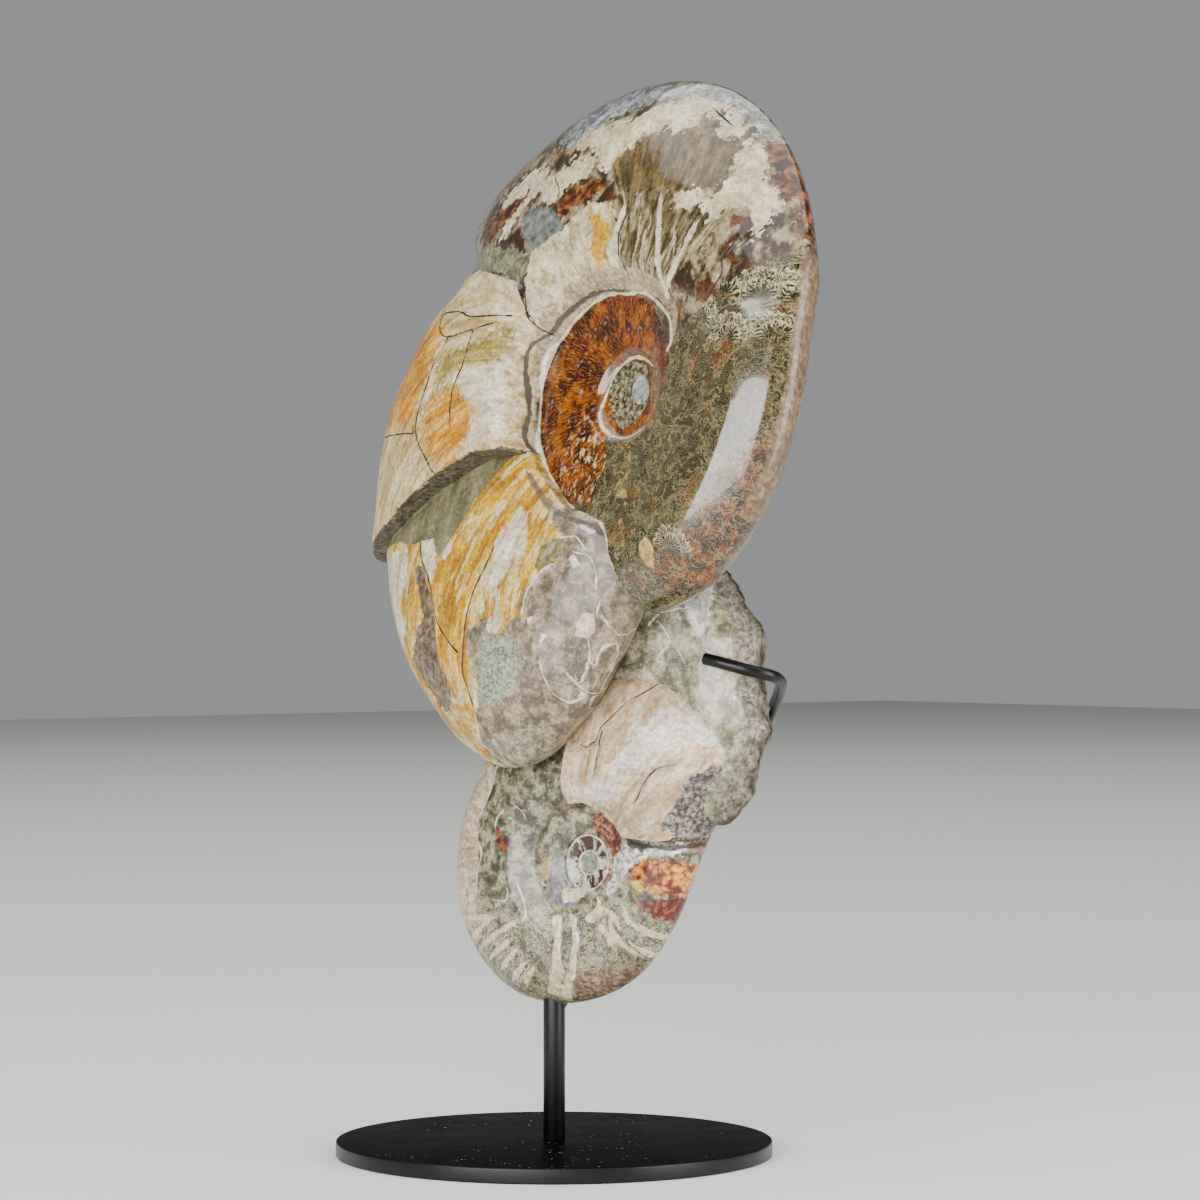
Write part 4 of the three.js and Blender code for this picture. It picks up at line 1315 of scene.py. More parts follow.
def large_material(groups):
    """Polished calcite, mud and shell of the large ammonite."""
    paint = Stone("Polished fossil", (("3f3c2b", "58543e", "726d55"), 9.0), 1.0, groups)
    lower = paint.mask("dense lace", 8.0, 14.0)
    paint.specks("76492c", 13.0, 0.56, strength=0.7)
    paint.area("low rust", ("3f220f", "6c3f20", "945f34"), 7.0, 1.0, 8.0, 6.0, 0.6, contrast=2.4)
    paint.lace("958c6c", "232115", 7.5, 0.12, lower, 9.0, 0.75)
    paint.fronds("c9c1a4", "1f1d10", 19.0, 0.85)
    paint.area("top", ("46392b", "7d6f58", "a89c84"), 8.0, 1.5, 3.0, 1.0, contrast=3.0)
    paint.specks("6b4023", 9.0, 0.57, paint.mask("top", 3.0, 1.0), 1.5, strength=0.8)
    paint.area("streaked", ("4d4732", "7d7156", "b3a789"), 4.4, 4.0, 3.0, 1.0, along=True)
    paint.specks("c4baa0", 5.0, 0.58, paint.mask("streaked", 3.0, 1.0), 3.5, along=True, strength=0.8)
    paint.specks("5b4a35", 4.0, 0.6, paint.mask("streaked", 3.0, 1.0), 2.5, along=True, strength=0.7)
    paint.area("olive patch", ("524830", "75664a", "94815f"), 4.0, 5.0, 5.0, 0.6, along=True)
    paint.specks("7e5636", 6.0, 0.6, paint.mask("olive patch", 5.0, 0.6), 5.0, along=True, strength=0.7)
    paint.area("cream", ("c6b695", "d9cdb0", "e6ddc6"), 9.0, 1.0, 6.5, 0.4)
    paint.area("blue band", ("76797a", "a0a6a4", "c9cecb"), 5.0, 1.0, 8.0, 1.0)
    paint.specks("54483c", 4.5, 0.62, paint.mask("blue band", 6.0, 1.0), 1.6, strength=0.85)
    paint.area("rust", ("47291a", "704a30", "9c7450"), 6.0, 1.0, 6.0, 1.0, contrast=2.4)
    paint.area("blue patch", ("636661", "7f827d", "989a94"), 6.0, 1.0, 4.0, 0.6)
    paint.area("grey strip", ("6b6c57", "8a8a70", "a3a188"), 5.0, 1.0, 4.0, 0.6)
    paint.area("fan", ("b0a27c", "d0c3a2", "e3dbc1"), 6.0, 2.5, 3.0, 0.5, along=True)
    paint.area("fan ochre", ("b98a40", "cda258", "dcbf84"), 4.0, 2.0, 6.0, 2.0)
    amber = paint.mask("amber", 2.0, 0.8)
    paint.area("amber", ("46261a", "724428", "956238"), 9.0, 1.5, 2.0, 0.8, contrast=2.6)
    paint.specks("b8864e", 1.3, 0.57, amber, 3.0, along=True, strength=0.8)
    paint.specks("351809", 1.3, 0.56, amber, 3.4, along=True, strength=0.85)
    paint.specks("a39a92", 3.4, 0.63, amber, 1.5, strength=0.6)
    flecked = paint.wire.math("MULTIPLY", amber, paint.mask("amber flecks", 6.0, 10.0))
    paint.specks("d2c3a6", 2.4, 0.56, flecked, 1.6, strength=0.9)
    paint.area("core", ("55503c", "7f7b64", "a5a18a"), 2.2, 1.0, 1.5, 0.6, contrast=2.2)
    paint.specks("6a3d22", 2.4, 0.57, paint.mask("core", 1.5, 0.6), strength=0.8)
    paint.area("core pip", ("8d938e", "a3a9a3", "b8bdb6"), 3.0, 1.0, 0.8, 0.6)
    paint.area("wall", ("9a8670", "b8a48c", "cdbfa8"), 2.4, 9.0, 1.0, 0.6, 0.55, along=True)
    paint.area("shell", ("b79f70", "d2c098", "e6dbc0"), 5.0, 8.0, 0.4, 0.3, 0.3, along=True)
    paint.area("shell ochre", ("b07a2a", "cb9a4c", "dcbc84"), 3.6, 7.0, 10.0, 6.0, along=True)
    paint.area("shell pale", ("c6ba9e", "ddd4be", "ebe5d5"), 4.0, 7.0, 8.0, 5.0, along=True)
    paint.area("shell olive", ("8b7a48", "a79660", "c4b486"), 4.0, 7.0, 8.0, 4.0, along=True)
    paint.area("bevel", ("6f5b46", "88725a", "9f8c74"), 3.0, 1.0, 2.0, 1.5, 0.45)
    paint.specks("b8a070", 3.4, 0.55, paint.thread_mask("flecks", 7.0, 5.0), strength=0.85)
    paint.area("pip", ("b09060", "c6a878", "d4bc90"), 3.0, 1.0, 0.8, 0.6)
    paint.lay(paint.thread_mask("septa", 1.2, 2.2), "d0c5aa", strength=0.6)
    paint.lay(paint.thread_mask("bars", 3.4, 1.6), "dacfb6", strength=0.95)
    # painted shade: the groove outside the seam line is darkened where it lies deep, over its real dip
    paint.lay(paint.thread_mask("shaded outer groove", 1.5, 0.8), "6a6153", 0.2, -0.6)
    paint.lay(paint.thread_mask("seam line", 2.0, 0.6), "d6cbb2", 0.7)
    paint.lay(paint.thread_mask("core line", 1.7, 0.5), "dad0b8", 0.8)
    paint.lay(paint.thread_mask("cracks", 0.9, 1.2), "2c281f", 0.1, -0.9)
    # painted shade: the steep side of the break is darkened, as shadow falls there
    paint.area("shaded broken side", ("4c463a", "6d6656", "8c8472"), 2.0, 1.0, 0.2, 0.3, 0.05)
    return paint.finish()


def chamber_material(groups):
    """Golden shell and mauve sediment of the body chamber."""
    paint = Stone("Golden shell", (("aa8028", "cca43e", "decb96"), 6.5, 4.5, 2.0, True), 0.3, groups)
    paint.specks("ddd3b8", 8.0, 0.58, stretch=3.0, along=True, strength=0.85)
    paint.specks("d8b060", 2.0, 0.58, stretch=4.0, along=True, strength=0.6)
    paint.specks("8a6430", 2.4, 0.6, stretch=4.0, along=True, strength=0.6)
    paint.area("pale stripes", ("c4b592", "d9cfb4", "e8e1cf"), 4.0, 6.0, 3.0, 2.0, along=True)
    paint.area("brown patch", ("5c4c3b", "827260", "a19480"), 4.0, 1.0, 2.5, 0.7, 0.3)
    paint.specks("84482c", 4.0, 0.63, paint.mask("brown patch", 2.5, 0.7), 1.5, strength=0.8)
    paint.area("dark strip", ("6a6851", "89856a", "a09a80"), 11.0, 3.0, 1.2, 0.5, 0.6)
    paint.area("sediment", ("75695a", "948672", "b0a28e"), 6.0, 1.0, 1.5, 0.5, 0.4, contrast=2.4)
    paint.area("green grain", ("7b8271", "a0a693", "bfc3b3"), 1.6, 1.0, 8.0, 5.0, contrast=2.2)
    paint.area("low lens", ("837d68", "a59f89", "bfb9a4"), 4.0, 2.0, 3.0, 1.0, contrast=2.0)
    paint.area("olive chips", ("6d6544", "8c7f56", "a59a72"), 3.0, 1.0, 1.5, 0.6)
    sediment = paint.mask("sediment", 1.5, 0.5)
    paint.specks("574c41", 1.6, 0.6, sediment, strength=0.6)
    paint.specks("c9beae", 1.4, 0.64, sediment, strength=0.6)
    paint.area("white bits", ("d5cec0", "e3ddd2", "efebe3"), 3.0, 1.0, 1.0, 0.5, 0.6)
    paint.area("pink bit", ("c8b2a2", "d8c6b8", "e3d5ca"), 3.0, 1.0, 1.0, 0.5, 0.6)
    paint.lay(paint.thread_mask("shell lines", 0.7, 1.4), "dbd2c2", 0.5)
    paint.lay(paint.thread_mask("cracks", 0.9, 0.8), "2e271c", 0.1, -0.9)
    # painted shadow: a dark line along the seam where the chamber meets the large ammonite, over a
    # shallow groove
    paint.lay(paint.thread_mask("shaded seam groove", 4.0, 2.0), "5d5653", 0.2, -0.8, 0.8)
    return paint.finish()


def small_material(groups):
    """Worn face, ribs, calcite and pink shell of the small ammonite, with painted highlights, sheen and
    shade.
    """
    paint = Stone("Small polished fossil", (("53523e", "84806a", "b0ac94"), 6.0, 1.0, 2.4), 0.55, groups)
    paint.lace("bfb99f", "2b2a1e", 5.5, 0.14, paint.mask("sutured", 6.0, 8.0), 9.0, 0.8)
    paint.specks("3f3c2d", 2.6, 0.6, strength=0.7)
    paint.specks("7c4d33", 3.4, 0.66, strength=0.8)
    paint.specks("c9c9b8", 4.0, 0.64, strength=0.8)
    paint.area("violet", ("767376", "8e8b8d", "a5a2a2"), 4.0, 1.0, 3.0, 1.5)
    paint.area("venter", ("b29d84", "cab9a2", "dccfbb"), 3.0, 5.0, 3.0, 0.8, along=True)
    paint.area("pink grain", ("7d6b5c", "9c8978", "b7a592"), 2.0, 1.0, 5.0, 3.0, contrast=2.0)
    # painted shade in the hollow above the ring
    paint.area("shaded hollow", ("4d4337", "71644f", "94866f"), 3.0, 1.0, 2.0, 1.0, 0.5)
    paint.area("tan chip", ("9e8a58", "b39e70", "c5b388"), 3.0, 1.0, 1.5, 0.6)
    paint.area("red grain", ("502718", "855238", "b58a6c"), 1.8, 1.0, 2.5, 0.6, contrast=2.2)
    # white calcite with painted highlights
    paint.area("calcite and highlight", ("a39f98", "dedad4", "f4f2ee"), 2.6, 1.0, 3.0, 0.6, 1.0, contrast=2.6)
    paint.area("orange", ("6b2f10", "b06a2c", "dcae6c"), 4.6, 1.0, 3.0, 0.6, 1.0, contrast=2.8)
    paint.area("dark red", ("471d12", "753a25", "a0694c"), 2.4, 1.0, 3.0, 0.6)
    paint.area("yellow", ("b09a40", "ccb854", "dfd080"), 3.0, 1.0, 1.5, 0.8)
    paint.area("right band", ("83604e", "a38270", "bea594"), 2.0, 1.0, 2.5, 1.0)
    paint.area("ribs", ("cdbd9c", "e0d3b8", "efe7d4"), 4.0, 2.0, 1.0, 0.4)
    paint.lay(paint.thread_mask("short ribs", 3.2, 1.2), "dccfb2")
    paint.lay(paint.thread_mask("arcs", 1.1, 0.5), "e2dac8")
    paint.area("ring", ("4a2a20", "8a867a", "cdc7b8"), 34.0, 0.2, 0.6, 0.4, along=True, contrast=4.5)
    paint.area("hub", ("6c735f", "8d937f", "a5ab98"), 3.0, 1.0, 0.6, 0.4)
    paint.lay(paint.thread_mask("ring lines", 1.0, 0.5), "ddd5c2")
    paint.area("pink shell", ("b59c7e", "cdb799", "decdb6"), 5.0, 6.0, 0.3, 0.3, 0.35, along=True)
    # paler part of the pink shell, partly a painted sheen
    pale = paint.mask("pink pale and sheen", 6.0, 1.2)
    pale = paint.wire.math("MULTIPLY", pale, paint.mask("pink shell", 0.3, 0.3))
    paint.lay(pale, paint.mottle(("cdbdac", "dfd3c5", "ece5dc"), 7.0, 2.0, 1.6, True))
    paint.area("slope", ("605854", "8b837e", "b1a8a0"), 2.2, 1.0, 3.0, 1.0, 0.1, contrast=2.2)
    # painted shade on the steep broken edge of the pink shell, over its layered stone
    paint.area("ledge", ("3a342b", "6c6454", "a0957c"), 1.2, 1.0, 0.3, 0.3, 0.1, contrast=2.4)
    paint.lay(paint.thread_mask("pink cracks", 0.7, 1.0), "4f443a", 0.2, -0.8)
    # painted shadow under the pink shell's edge, over dark layered stone
    paint.lay(paint.thread_mask("shadow under ledge", 2.6, 2.0), "3a342b", 0.1, -0.8, 0.9)
    return paint.finish()


def rock_material(groups):
    """Grey-green rock, polished in front and rough at its edge and back."""
    paint = Stone("Rock", (("6f6f58", "a3a089", "c8c3ae"), 8.0, 1.0, 2.2), 0.65, groups)
    paint.specks("c8c3b2", 2.4, 0.62, strength=0.7)
    paint.specks("4e4e42", 1.8, 0.6, strength=0.6)
    paint.specks("8c8168", 7.0, 0.58, strength=0.6)
    # white fossil bit, and a painted highlight near the rock's top
    paint.area("rock pale and highlight", ("cfcbbf", "e0ddd4", "eeece6"), 3.0, 1.0, 3.0, 0.6)
    paint.area("rock pink", ("a88474", "ba9686", "cbae9f"), 3.0, 1.0, 2.0, 1.0)
    paint.lay(paint.thread_mask("shell bits", 1.2, 2.0), "dbd6c8")
    paint.area("rough edge", ("716a60", "978f83", "b5ada1"), 2.6, 1.0, 2.5, 1.5, 0.05, contrast=2.0)
    paint.area("rock back", ("5d594d", "7d7869", "9a9484"), 4.0, 1.0, 2.0, 1.5, 0.05)
    return paint.finish(bump_depth=0.001)


def steel_material():
    """Black satin coat with a little dust on the level faces."""
    material = bpy.data.materials.new("Black steel")
    material.use_nodes = True
    material.node_tree.nodes.clear()
    wire = Wiring(material.node_tree)
    place = wire.node("ShaderNodeTexCoord").outputs["Object"]
    mm = wire.node("ShaderNodeVectorMath", place, (1000, 1000, 1000), operation="MULTIPLY").outputs[0]
    up = wire.node("ShaderNodeSeparateXYZ", wire.node("ShaderNodeNewGeometry").outputs["Normal"])
    flat = wire.spread(up.outputs[2], 0.8, 0.95)
    film = grain(wire, mm, 30.0, None, 4, 0.6)
    fluff = wire.spread(grain(wire, mm, 1.6, None, 2, 0.5), 0.7, 0.74)
    patch = wire.spread(grain(wire, mm, 28.0, None, 2, 0.5), 0.5, 0.62)
    dust = wire.math("MULTIPLY", wire.math("MULTIPLY", fluff, patch), flat)
    haze = wire.math("MULTIPLY", wire.spread(film, 0.35, 0.75, 0, 0.05), flat)
    shader = wire.node("ShaderNodeBsdfPrincipled")
    black = wire.blend(haze, tone("0a0b0c"), tone("4a4842"))
    wire.feed(shader.inputs["Base Color"], wire.blend(dust, black, tone("c6c2b8")))
    wire.feed(shader.inputs["Roughness"], wire.blend(dust, wire.spread(film, 0.3, 0.7, 0.3, 0.4), 0.9))
    wire.feed(shader.inputs["Specular IOR Level"], wire.spread(up.outputs[2], 0.5, 0.95, 0.35, 0.01))
    orange_peel = wire.node("ShaderNodeBump")
    orange_peel.inputs["Distance"].default_value = 0.00004
    wire.feed(orange_peel.inputs["Height"], grain(wire, mm, 1.2, None, 3, 0.5))
    wire.feed(shader.inputs["Normal"], orange_peel.outputs[0])
    wire.feed(wire.node("ShaderNodeOutputMaterial").inputs[0], shader.outputs[0])
    return material


def shader_groups():
    """The groups that the stone materials share, each built once."""
    builders = {"Mottle": mottle_group, "Frayed Area": ragged_group, "Thread": thread_group,
                "Suture Lace": lace_group, "Frond": frond_group}
    return {name: bpy.data.node_groups.get(name) or build() for name, build in builders.items()}


# Sizes and looks that a user may change


class CoilSizes(bpy.types.PropertyGroup):
    """Thicknesses that shape the large ammonite's face."""

    centre: bpy.props.FloatProperty(
        name="Half at Centre", description="Half thickness at the coil centre", default=0.012,
        min=0.002, unit="LENGTH")
    seam: bpy.props.FloatProperty(
        name="Half at Seam", description="Half thickness where the outer whorl begins",
        default=0.0185, min=0.002, unit="LENGTH")
    belly: bpy.props.FloatProperty(
        name="Half at Belly", description="Fixed part of the whorl's half thickness",
        default=0.007, min=0.0, unit="LENGTH")
    per_radius: bpy.props.FloatProperty(
        name="Half per Radius", description="Share of the whorl's radius added to that half",
        default=0.155, min=0.0)
    wall: bpy.props.FloatProperty(
        name="Wall Width", description="Width of the steep wall above the seam", default=0.009,
        min=0.001, unit="LENGTH")


class SmallCoilSizes(bpy.types.PropertyGroup):
    """Thicknesses that shape the small ammonite's face."""

    centre: bpy.props.FloatProperty(
        name="Half at Centre", description="Half thickness at the coil centre", default=0.0105,
        min=0.002, unit="LENGTH")
    seam: bpy.props.FloatProperty(
        name="Half at Seam", description="Half thickness where the outer whorl begins",
        default=0.0135, min=0.002, unit="LENGTH")
    belly: bpy.props.FloatProperty(
        name="Half at Belly", description="Fixed part of the whorl's half thickness",
        default=0.008, min=0.0, unit="LENGTH")
    per_radius: bpy.props.FloatProperty(
        name="Half per Radius", description="Share of the whorl's radius added to that half",
        default=0.12, min=0.0)
    shell_rise: bpy.props.FloatProperty(
        name="Pink Shell Rise", description="How far the pink shell stands above the worn face",
        default=0.007, min=0.0, unit="LENGTH")


class StandSizes(bpy.types.PropertyGroup):
    """Sizes of the steel stand."""

    plate: bpy.props.FloatProperty(
        name="Plate Diameter", description="Diameter of the round base", default=0.2, min=0.05,
        unit="LENGTH")
    thick: bpy.props.FloatProperty(
        name="Plate Thickness", description="Thickness of the round base", default=0.007,
        min=0.001, unit="LENGTH")
    post: bpy.props.FloatProperty(
        name="Post Diameter", description="Diameter of the upright rod", default=0.01, min=0.002,
        unit="LENGTH")
    prong: bpy.props.FloatProperty(
        name="Prong Diameter", description="Diameter of the bent rod", default=0.0054, min=0.001,
        unit="LENGTH")


class StageLooks(bpy.types.PropertyGroup):
    """Floor, light and room colour."""

    floor: bpy.props.FloatVectorProperty(
        name="Floor Colour", description="Colour of the plain floor", subtype="COLOR", size=4,
        default=(0.8, 0.79, 0.77, 1.0), min=0.0, max=1.0)
    horizon: bpy.props.FloatProperty(
        name="Horizon", description="Brightness of the room at eye level", default=0.36, min=0.0)
    overhead: bpy.props.FloatProperty(
        name="Overhead", description="Brightness of the room's ceiling", default=0.16, min=0.0)
    key: bpy.props.FloatProperty(
        name="Side Light", description="Strength of the two soft boxes, in watts", default=17.0,
        min=0.0)


def grow_coil(name, tree, sizes, material, others):
    """Plain mesh of a coil from its thicknesses and its other inputs."""
    return grow(name, tree, {
        "Half at Centre": sizes.centre, "Half at Seam": sizes.seam, "Half at Belly": sizes.belly,
        "Half per Radius": sizes.per_radius, "Material": material, **others,
    })


def in_mm(piece):
    """Close a mesh built in metres and return its points in millimetres."""
    outward(piece.data)
    return points_of(piece.data) / MM


def facing(mesh):
    """How far each point faces out of the coil's plane, from -1 to 1."""
    normals = np.empty(len(mesh.vertices) * 3)
    mesh.vertices.foreach_get("normal", normals)
    return normals.reshape(-1, 3)[:, 2]


def shaded_broken_side(mesh, flat):
    """Above 0 on the steep side of the break, which is darkened there as painted shade, below 0
    elsewhere.
    """
    steep = np.abs(facing(mesh)) < 0.75
    return np.where((np.abs(inside(flat, BREAK)) < 1.6) & steep, 0.8, -1.6)


def lay_out(piece, growth):
    """Clean a cut piece and keep its points' places; return its mesh, points and face."""
    mesh = piece.data
    outward(mesh)
    largest_part(mesh)
    points = points_of(mesh)
    store(mesh, "sheet", points)
    store(mesh, "flow", flow_of(points, *growth))
    return mesh, points, points[:, :2]


class SPECIMEN_OT_large_ammonite(bpy.types.Operator):
    """Build the large polished ammonite"""

    bl_idname = "specimen.large_ammonite"
    bl_label = "Large Ammonite"

    def execute(self, context):
        sizes = context.scene.large_coil
        material = large_material(shader_groups())
        tree = coil_tree("Large coil", LARGE_RIM, LARGE_SEAM, LARGE_CORE, LARGE_FLUSH)
        piece = grow_coil("Large ammonite", tree, sizes, material, {
            "Sectors": 460, "Front Rings": 140, "Back Rings": 44, "Wall Width": sizes.wall,
            "Flush Width": 0.024, "Core Dish": 0.0025,
        })
        move_points(piece.data, carve_large(in_mm(piece)))
        piece = combine(piece, rough_block("Break", BREAK, *BREAK_SIDES), "DIFFERENCE")
        mesh, points, flat = lay_out(piece, LARGE_GROWTH)
        angle, radius = polar(points)
        seam = radius_at(LARGE_SEAM, angle)
        top = np.minimum(radius - seam, np.minimum((angle - 33) * 1.6, (158 - angle) * 2.0))
        on_wall = np.minimum(np.minimum(radius - seam - 0.8, seam + 9 - radius),
                             np.minimum((angle - 56) * 0.8, (250 - angle) * 0.8))
        right = np.minimum((wrapped(angle - 330) + 8) * 1.2, (64 - wrapped(angle - 330)) * 1.2)
        lace_zone = np.minimum(66 - flat[:, 1] + 0.5 * flat[:, 0], flat[:, 0] + 30)
        bevel = np.minimum(np.minimum(4.5 - points[:, 2], points[:, 2] + 14), right)
        ochre = np.minimum(inside(flat, *SHELL_OCHRE), inside(flat, SHELL))
        for name, values in (("dense lace", lace_zone), ("top", top), ("wall", on_wall),
                             ("bevel", bevel), ("shell ochre", ochre),
                             ("shaded broken side", shaded_broken_side(mesh, flat))):
            store(mesh, name, values)
        store_areas(mesh, flat, LARGE_AREAS)
        store(mesh, "frond", nearest_frond(flat))
        # line of the groove outside the seam line, painted dark as shade
        groove = [(x - 4, y + 1.5) for x, y in SEAM_LINE[6:20]]
        store_lines(mesh, flat, {**LARGE_LINES, "shaded outer groove": [groove]})
        settle(piece, "large_ammonite", LARGE_PLACE, material)
        return {"FINISHED"}


class SPECIMEN_OT_body_chamber(bpy.types.Operator):
    """Build the broken body chamber with its sediment"""

    bl_idname = "specimen.body_chamber"
    bl_label = "Body Chamber"

    def execute(self, context):
        def face(angle, radius, reach):
            return 31 * np.clip(1 - (radius / reach) ** 3, 0, 1) ** 0.62

        piece = bulging_body("Body chamber", CHAMBER_RIM, CHAMBER_CENTRE, 420, (100, face),
                             (34, face))
        points = points_of(piece.data)
        points[:, 2] -= 3
        move_points(piece.data, carve_chamber(points))
        outline = [(x + BREAK_GAP, y + BREAK_GAP) for x, y in BREAK]
        piece = combine(piece, rough_block("Break", outline, *BREAK_SIDES), "INTERSECT")
        mesh, _, flat = lay_out(piece, LARGE_GROWTH)
        store_areas(mesh, flat, CHAMBER_AREAS)
        # line beside the seam, painted dark as a contact shadow
        seam_shadow_side = [(x - 3, y - 3) for x, y in BREAK[6:13]]
        store_lines(mesh, flat, {"shaded seam groove": [seam_shadow_side], "cracks": CHAMBER_CRACKS,
                                 "shell lines": SHELL_LINES})
        settle(piece, "large_body_chamber", LARGE_PLACE,
               chamber_material(shader_groups()))
        return {"FINISHED"}


class SPECIMEN_OT_small_ammonite(bpy.types.Operator):
    """Build the small ammonite with its thick pink shell"""

    bl_idname = "specimen.small_ammonite"
    bl_label = "Small Ammonite"

    def execute(self, context):
        sizes = context.scene.small_coil
        tree = coil_tree("Small coil", SMALL_RIM, SMALL_SEAM, SMALL_CORE, SMALL_FLUSH)
        material = small_material(shader_groups())
        rings = {"Sectors": 380, "Front Rings": 104, "Back Rings": 34, "Flush Width": 0.0,
                 "Core Dish": 0.0}
        piece = grow_coil("Small ammonite", tree, sizes, material, rings)
        worn = in_mm(piece)
        move_points(piece.data, carve_small(worn.copy(), False))
        shell = grow_coil("Pink shell", tree, sizes, material, rings)
        raised = in_mm(shell)
        lift = sizes.shell_rise / MM
        raised[:, 2] += np.where(raised[:, 2] > 0, lift * np.clip(raised[:, 2] / 12, 0, 1), 0)
        move_points(shell.data, carve_small(raised, True))
        shell = combine(shell, rough_block("Shell edge", PINK_SHELL, 60, 1.4, 0.45), "INTERSECT")
        piece = combine(piece, shell, "UNION")
        mesh, points, flat = lay_out(piece, SMALL_GROWTH)
        angle, radius = polar(points)
        core = radius_at(SMALL_CORE, angle)
        edge = inside(flat, PINK_SHELL)
        # steep faces at the pink shell's edge, which take painted shade
        ledge = np.where((np.abs(edge) < 1.3) & (facing(mesh) < 0.6), 0.6, -1.2)
        for name, values in (("sutured", -18 - flat[:, 1]), ("ring", core - radius),
                             ("pink shell", np.minimum(edge, points[:, 2] + 2)),
                             ("hub", HUB_RADIUS - radius), ("ledge", ledge)):
            store(mesh, name, values)
        store_areas(mesh, flat, SMALL_AREAS)
        from_core, from_hub = radius - core, radius - HUB_RADIUS
        nearer = np.where(np.abs(from_core) < np.abs(from_hub), from_core, from_hub)
        store(mesh, "ring lines", np.stack([nearer, np.abs(nearer), angle], 1))
        store_lines(mesh, flat, SMALL_LINES)
        settle(piece, "small_ammonite", SMALL_PLACE, material)
        return {"FINISHED"}


class SPECIMEN_OT_rock(bpy.types.Operator):
    """Build the rock between and behind the ammonites"""

    bl_idname = "specimen.rock"
    bl_label = "Rock"

    def execute(self, context):
        def front(angle, radius, reach):
            return 15.5 * np.clip(1 - (radius / reach) ** 6, 0, 1) ** 0.7

        def back(angle, radius, reach):
            return 36 * np.clip(1 - (radius / reach) ** 2, 0, 1) ** 0.7

        piece = bulging_body("Rock", ROCK_RIM, ROCK_CENTRE, 400, (80, front), (60, back))
        points = points_of(piece.data)
        mesh = piece.data
        move_points(mesh, carve_rock(points))
        outward(mesh)
        points = points_of(mesh)
        flat = points[:, :2]
        store(mesh, "sheet", points)
        store(mesh, "flow", flow_of(points, ROCK_CENTRE, 0, 30))
        store_areas(mesh, flat, {"rock pale and highlight": ROCK_PALE_AND_HIGHLIGHT, "rock pink": [ROCK_PINK]})
        store(mesh, "rough edge", np.minimum(inside(flat, ROUGH_EDGE), points[:, 2] + 6))
        store(mesh, "rock back", 2 - points[:, 2])
        store(mesh, "shell bits", along_lines(flat, ROCK_WHITE))
        settle(piece, "matrix", SMALL_PLACE, rock_material(shader_groups()), 60)
        return {"FINISHED"}


# Stops of the bent rod in mm, from its weld on the post to its end in front of the rock
PRONG_STOPS = [
    (-4.3, 3.6, 58), (-10, 8.6, 58), (-15, 14, 63), (-10, 22, 78), (6, 36, 100), (24, 50, 130),
    (44, 62, 160), (62, 66, 186), (80, 62, 204), (95, 53, 213), (106, 43, 218), (111, 33, 220.5),
    (107, 23, 223), (98, 16.8, 225.8), (88.5, 14.2, 227.9),
]


def bent_path(stops, steps=8):
    """Smooth path through the stops, evenly eased between near and far ones."""
    knots = [Vector(stop) for stop in stops]
    knots = [2 * knots[0] - knots[1], *knots, 2 * knots[-1] - knots[-2]]
    path = []
    for a, b, c, d in zip(knots, knots[1:], knots[2:], knots[3:]):
        t0 = 0.0
        t1 = t0 + math.sqrt((b - a).length)
        t2 = t1 + math.sqrt((c - b).length)
        t3 = t2 + math.sqrt((d - c).length)
        for k in range(steps):
            t = t1 + (t2 - t1) * k / steps
            ab = a.lerp(b, (t - t0) / (t1 - t0))
            bc = b.lerp(c, (t - t1) / (t2 - t1))
            cd = c.lerp(d, (t - t2) / (t3 - t2))
            abc = ab.lerp(bc, (t - t0) / (t2 - t0))
            bcd = bc.lerp(cd, (t - t1) / (t3 - t1))
            path.append(abc.lerp(bcd, (t - t1) / (t2 - t1)))
    return [*path, knots[-2]]


def rod_tree():
    """Geometry Nodes tree that sweeps a round bar along a curve."""
    tree = bpy.data.node_groups.new("Bent rod", "GeometryNodeTree")
    wire = Wiring(tree)
    size = wire.sockets(
        [("Path", "NodeSocketGeometry", None), ("Radius", REAL, 0.0027), ("Sides", WHOLE, 28),
         ("Material", "NodeSocketMaterial", None)],
        [("Rod", "NodeSocketGeometry")],
    )
    circle = wire.node("GeometryNodeCurvePrimitiveCircle")
    wire.feed(circle.inputs["Resolution"], size["Sides"])
    wire.feed(circle.inputs["Radius"], size["Radius"])
    swept = wire.node("GeometryNodeCurveToMesh", size["Path"], circle.outputs[0])
    wire.feed(swept.inputs["Fill Caps"], True)
    real = wire.node("GeometryNodeRealizeInstances", swept.outputs[0])
    coated = wire.node("GeometryNodeSetMaterial", real.outputs[0], None, size["Material"])
    wire.deliver(coated.outputs[0])
    return tree


def turned(name, profile, sides):
    """Round body of a (radius, height) profile whose first and last points are on the axis."""
    points = [(0, 0, profile[0][1])]
    for radius, height in profile[1:-1]:
        points += [(radius * math.cos(2 * math.pi * k / sides),
                    radius * math.sin(2 * math.pi * k / sides), height) for k in range(sides)]
    points.append((0, 0, profile[-1][1]))
    last = len(points) - 1
    rows = len(profile) - 2
    faces = []
    for k in range(sides):
        n = (k + 1) % sides
        faces.append((0, 1 + n, 1 + k))
        for row in range(rows - 1):
            low = 1 + row * sides
            faces.append((low + k, low + n, low + sides + n, low + sides + k))
        low = 1 + (rows - 1) * sides
        faces.append((last, low + k, low + n))
    return link(name, mesh_from(name, points, faces))


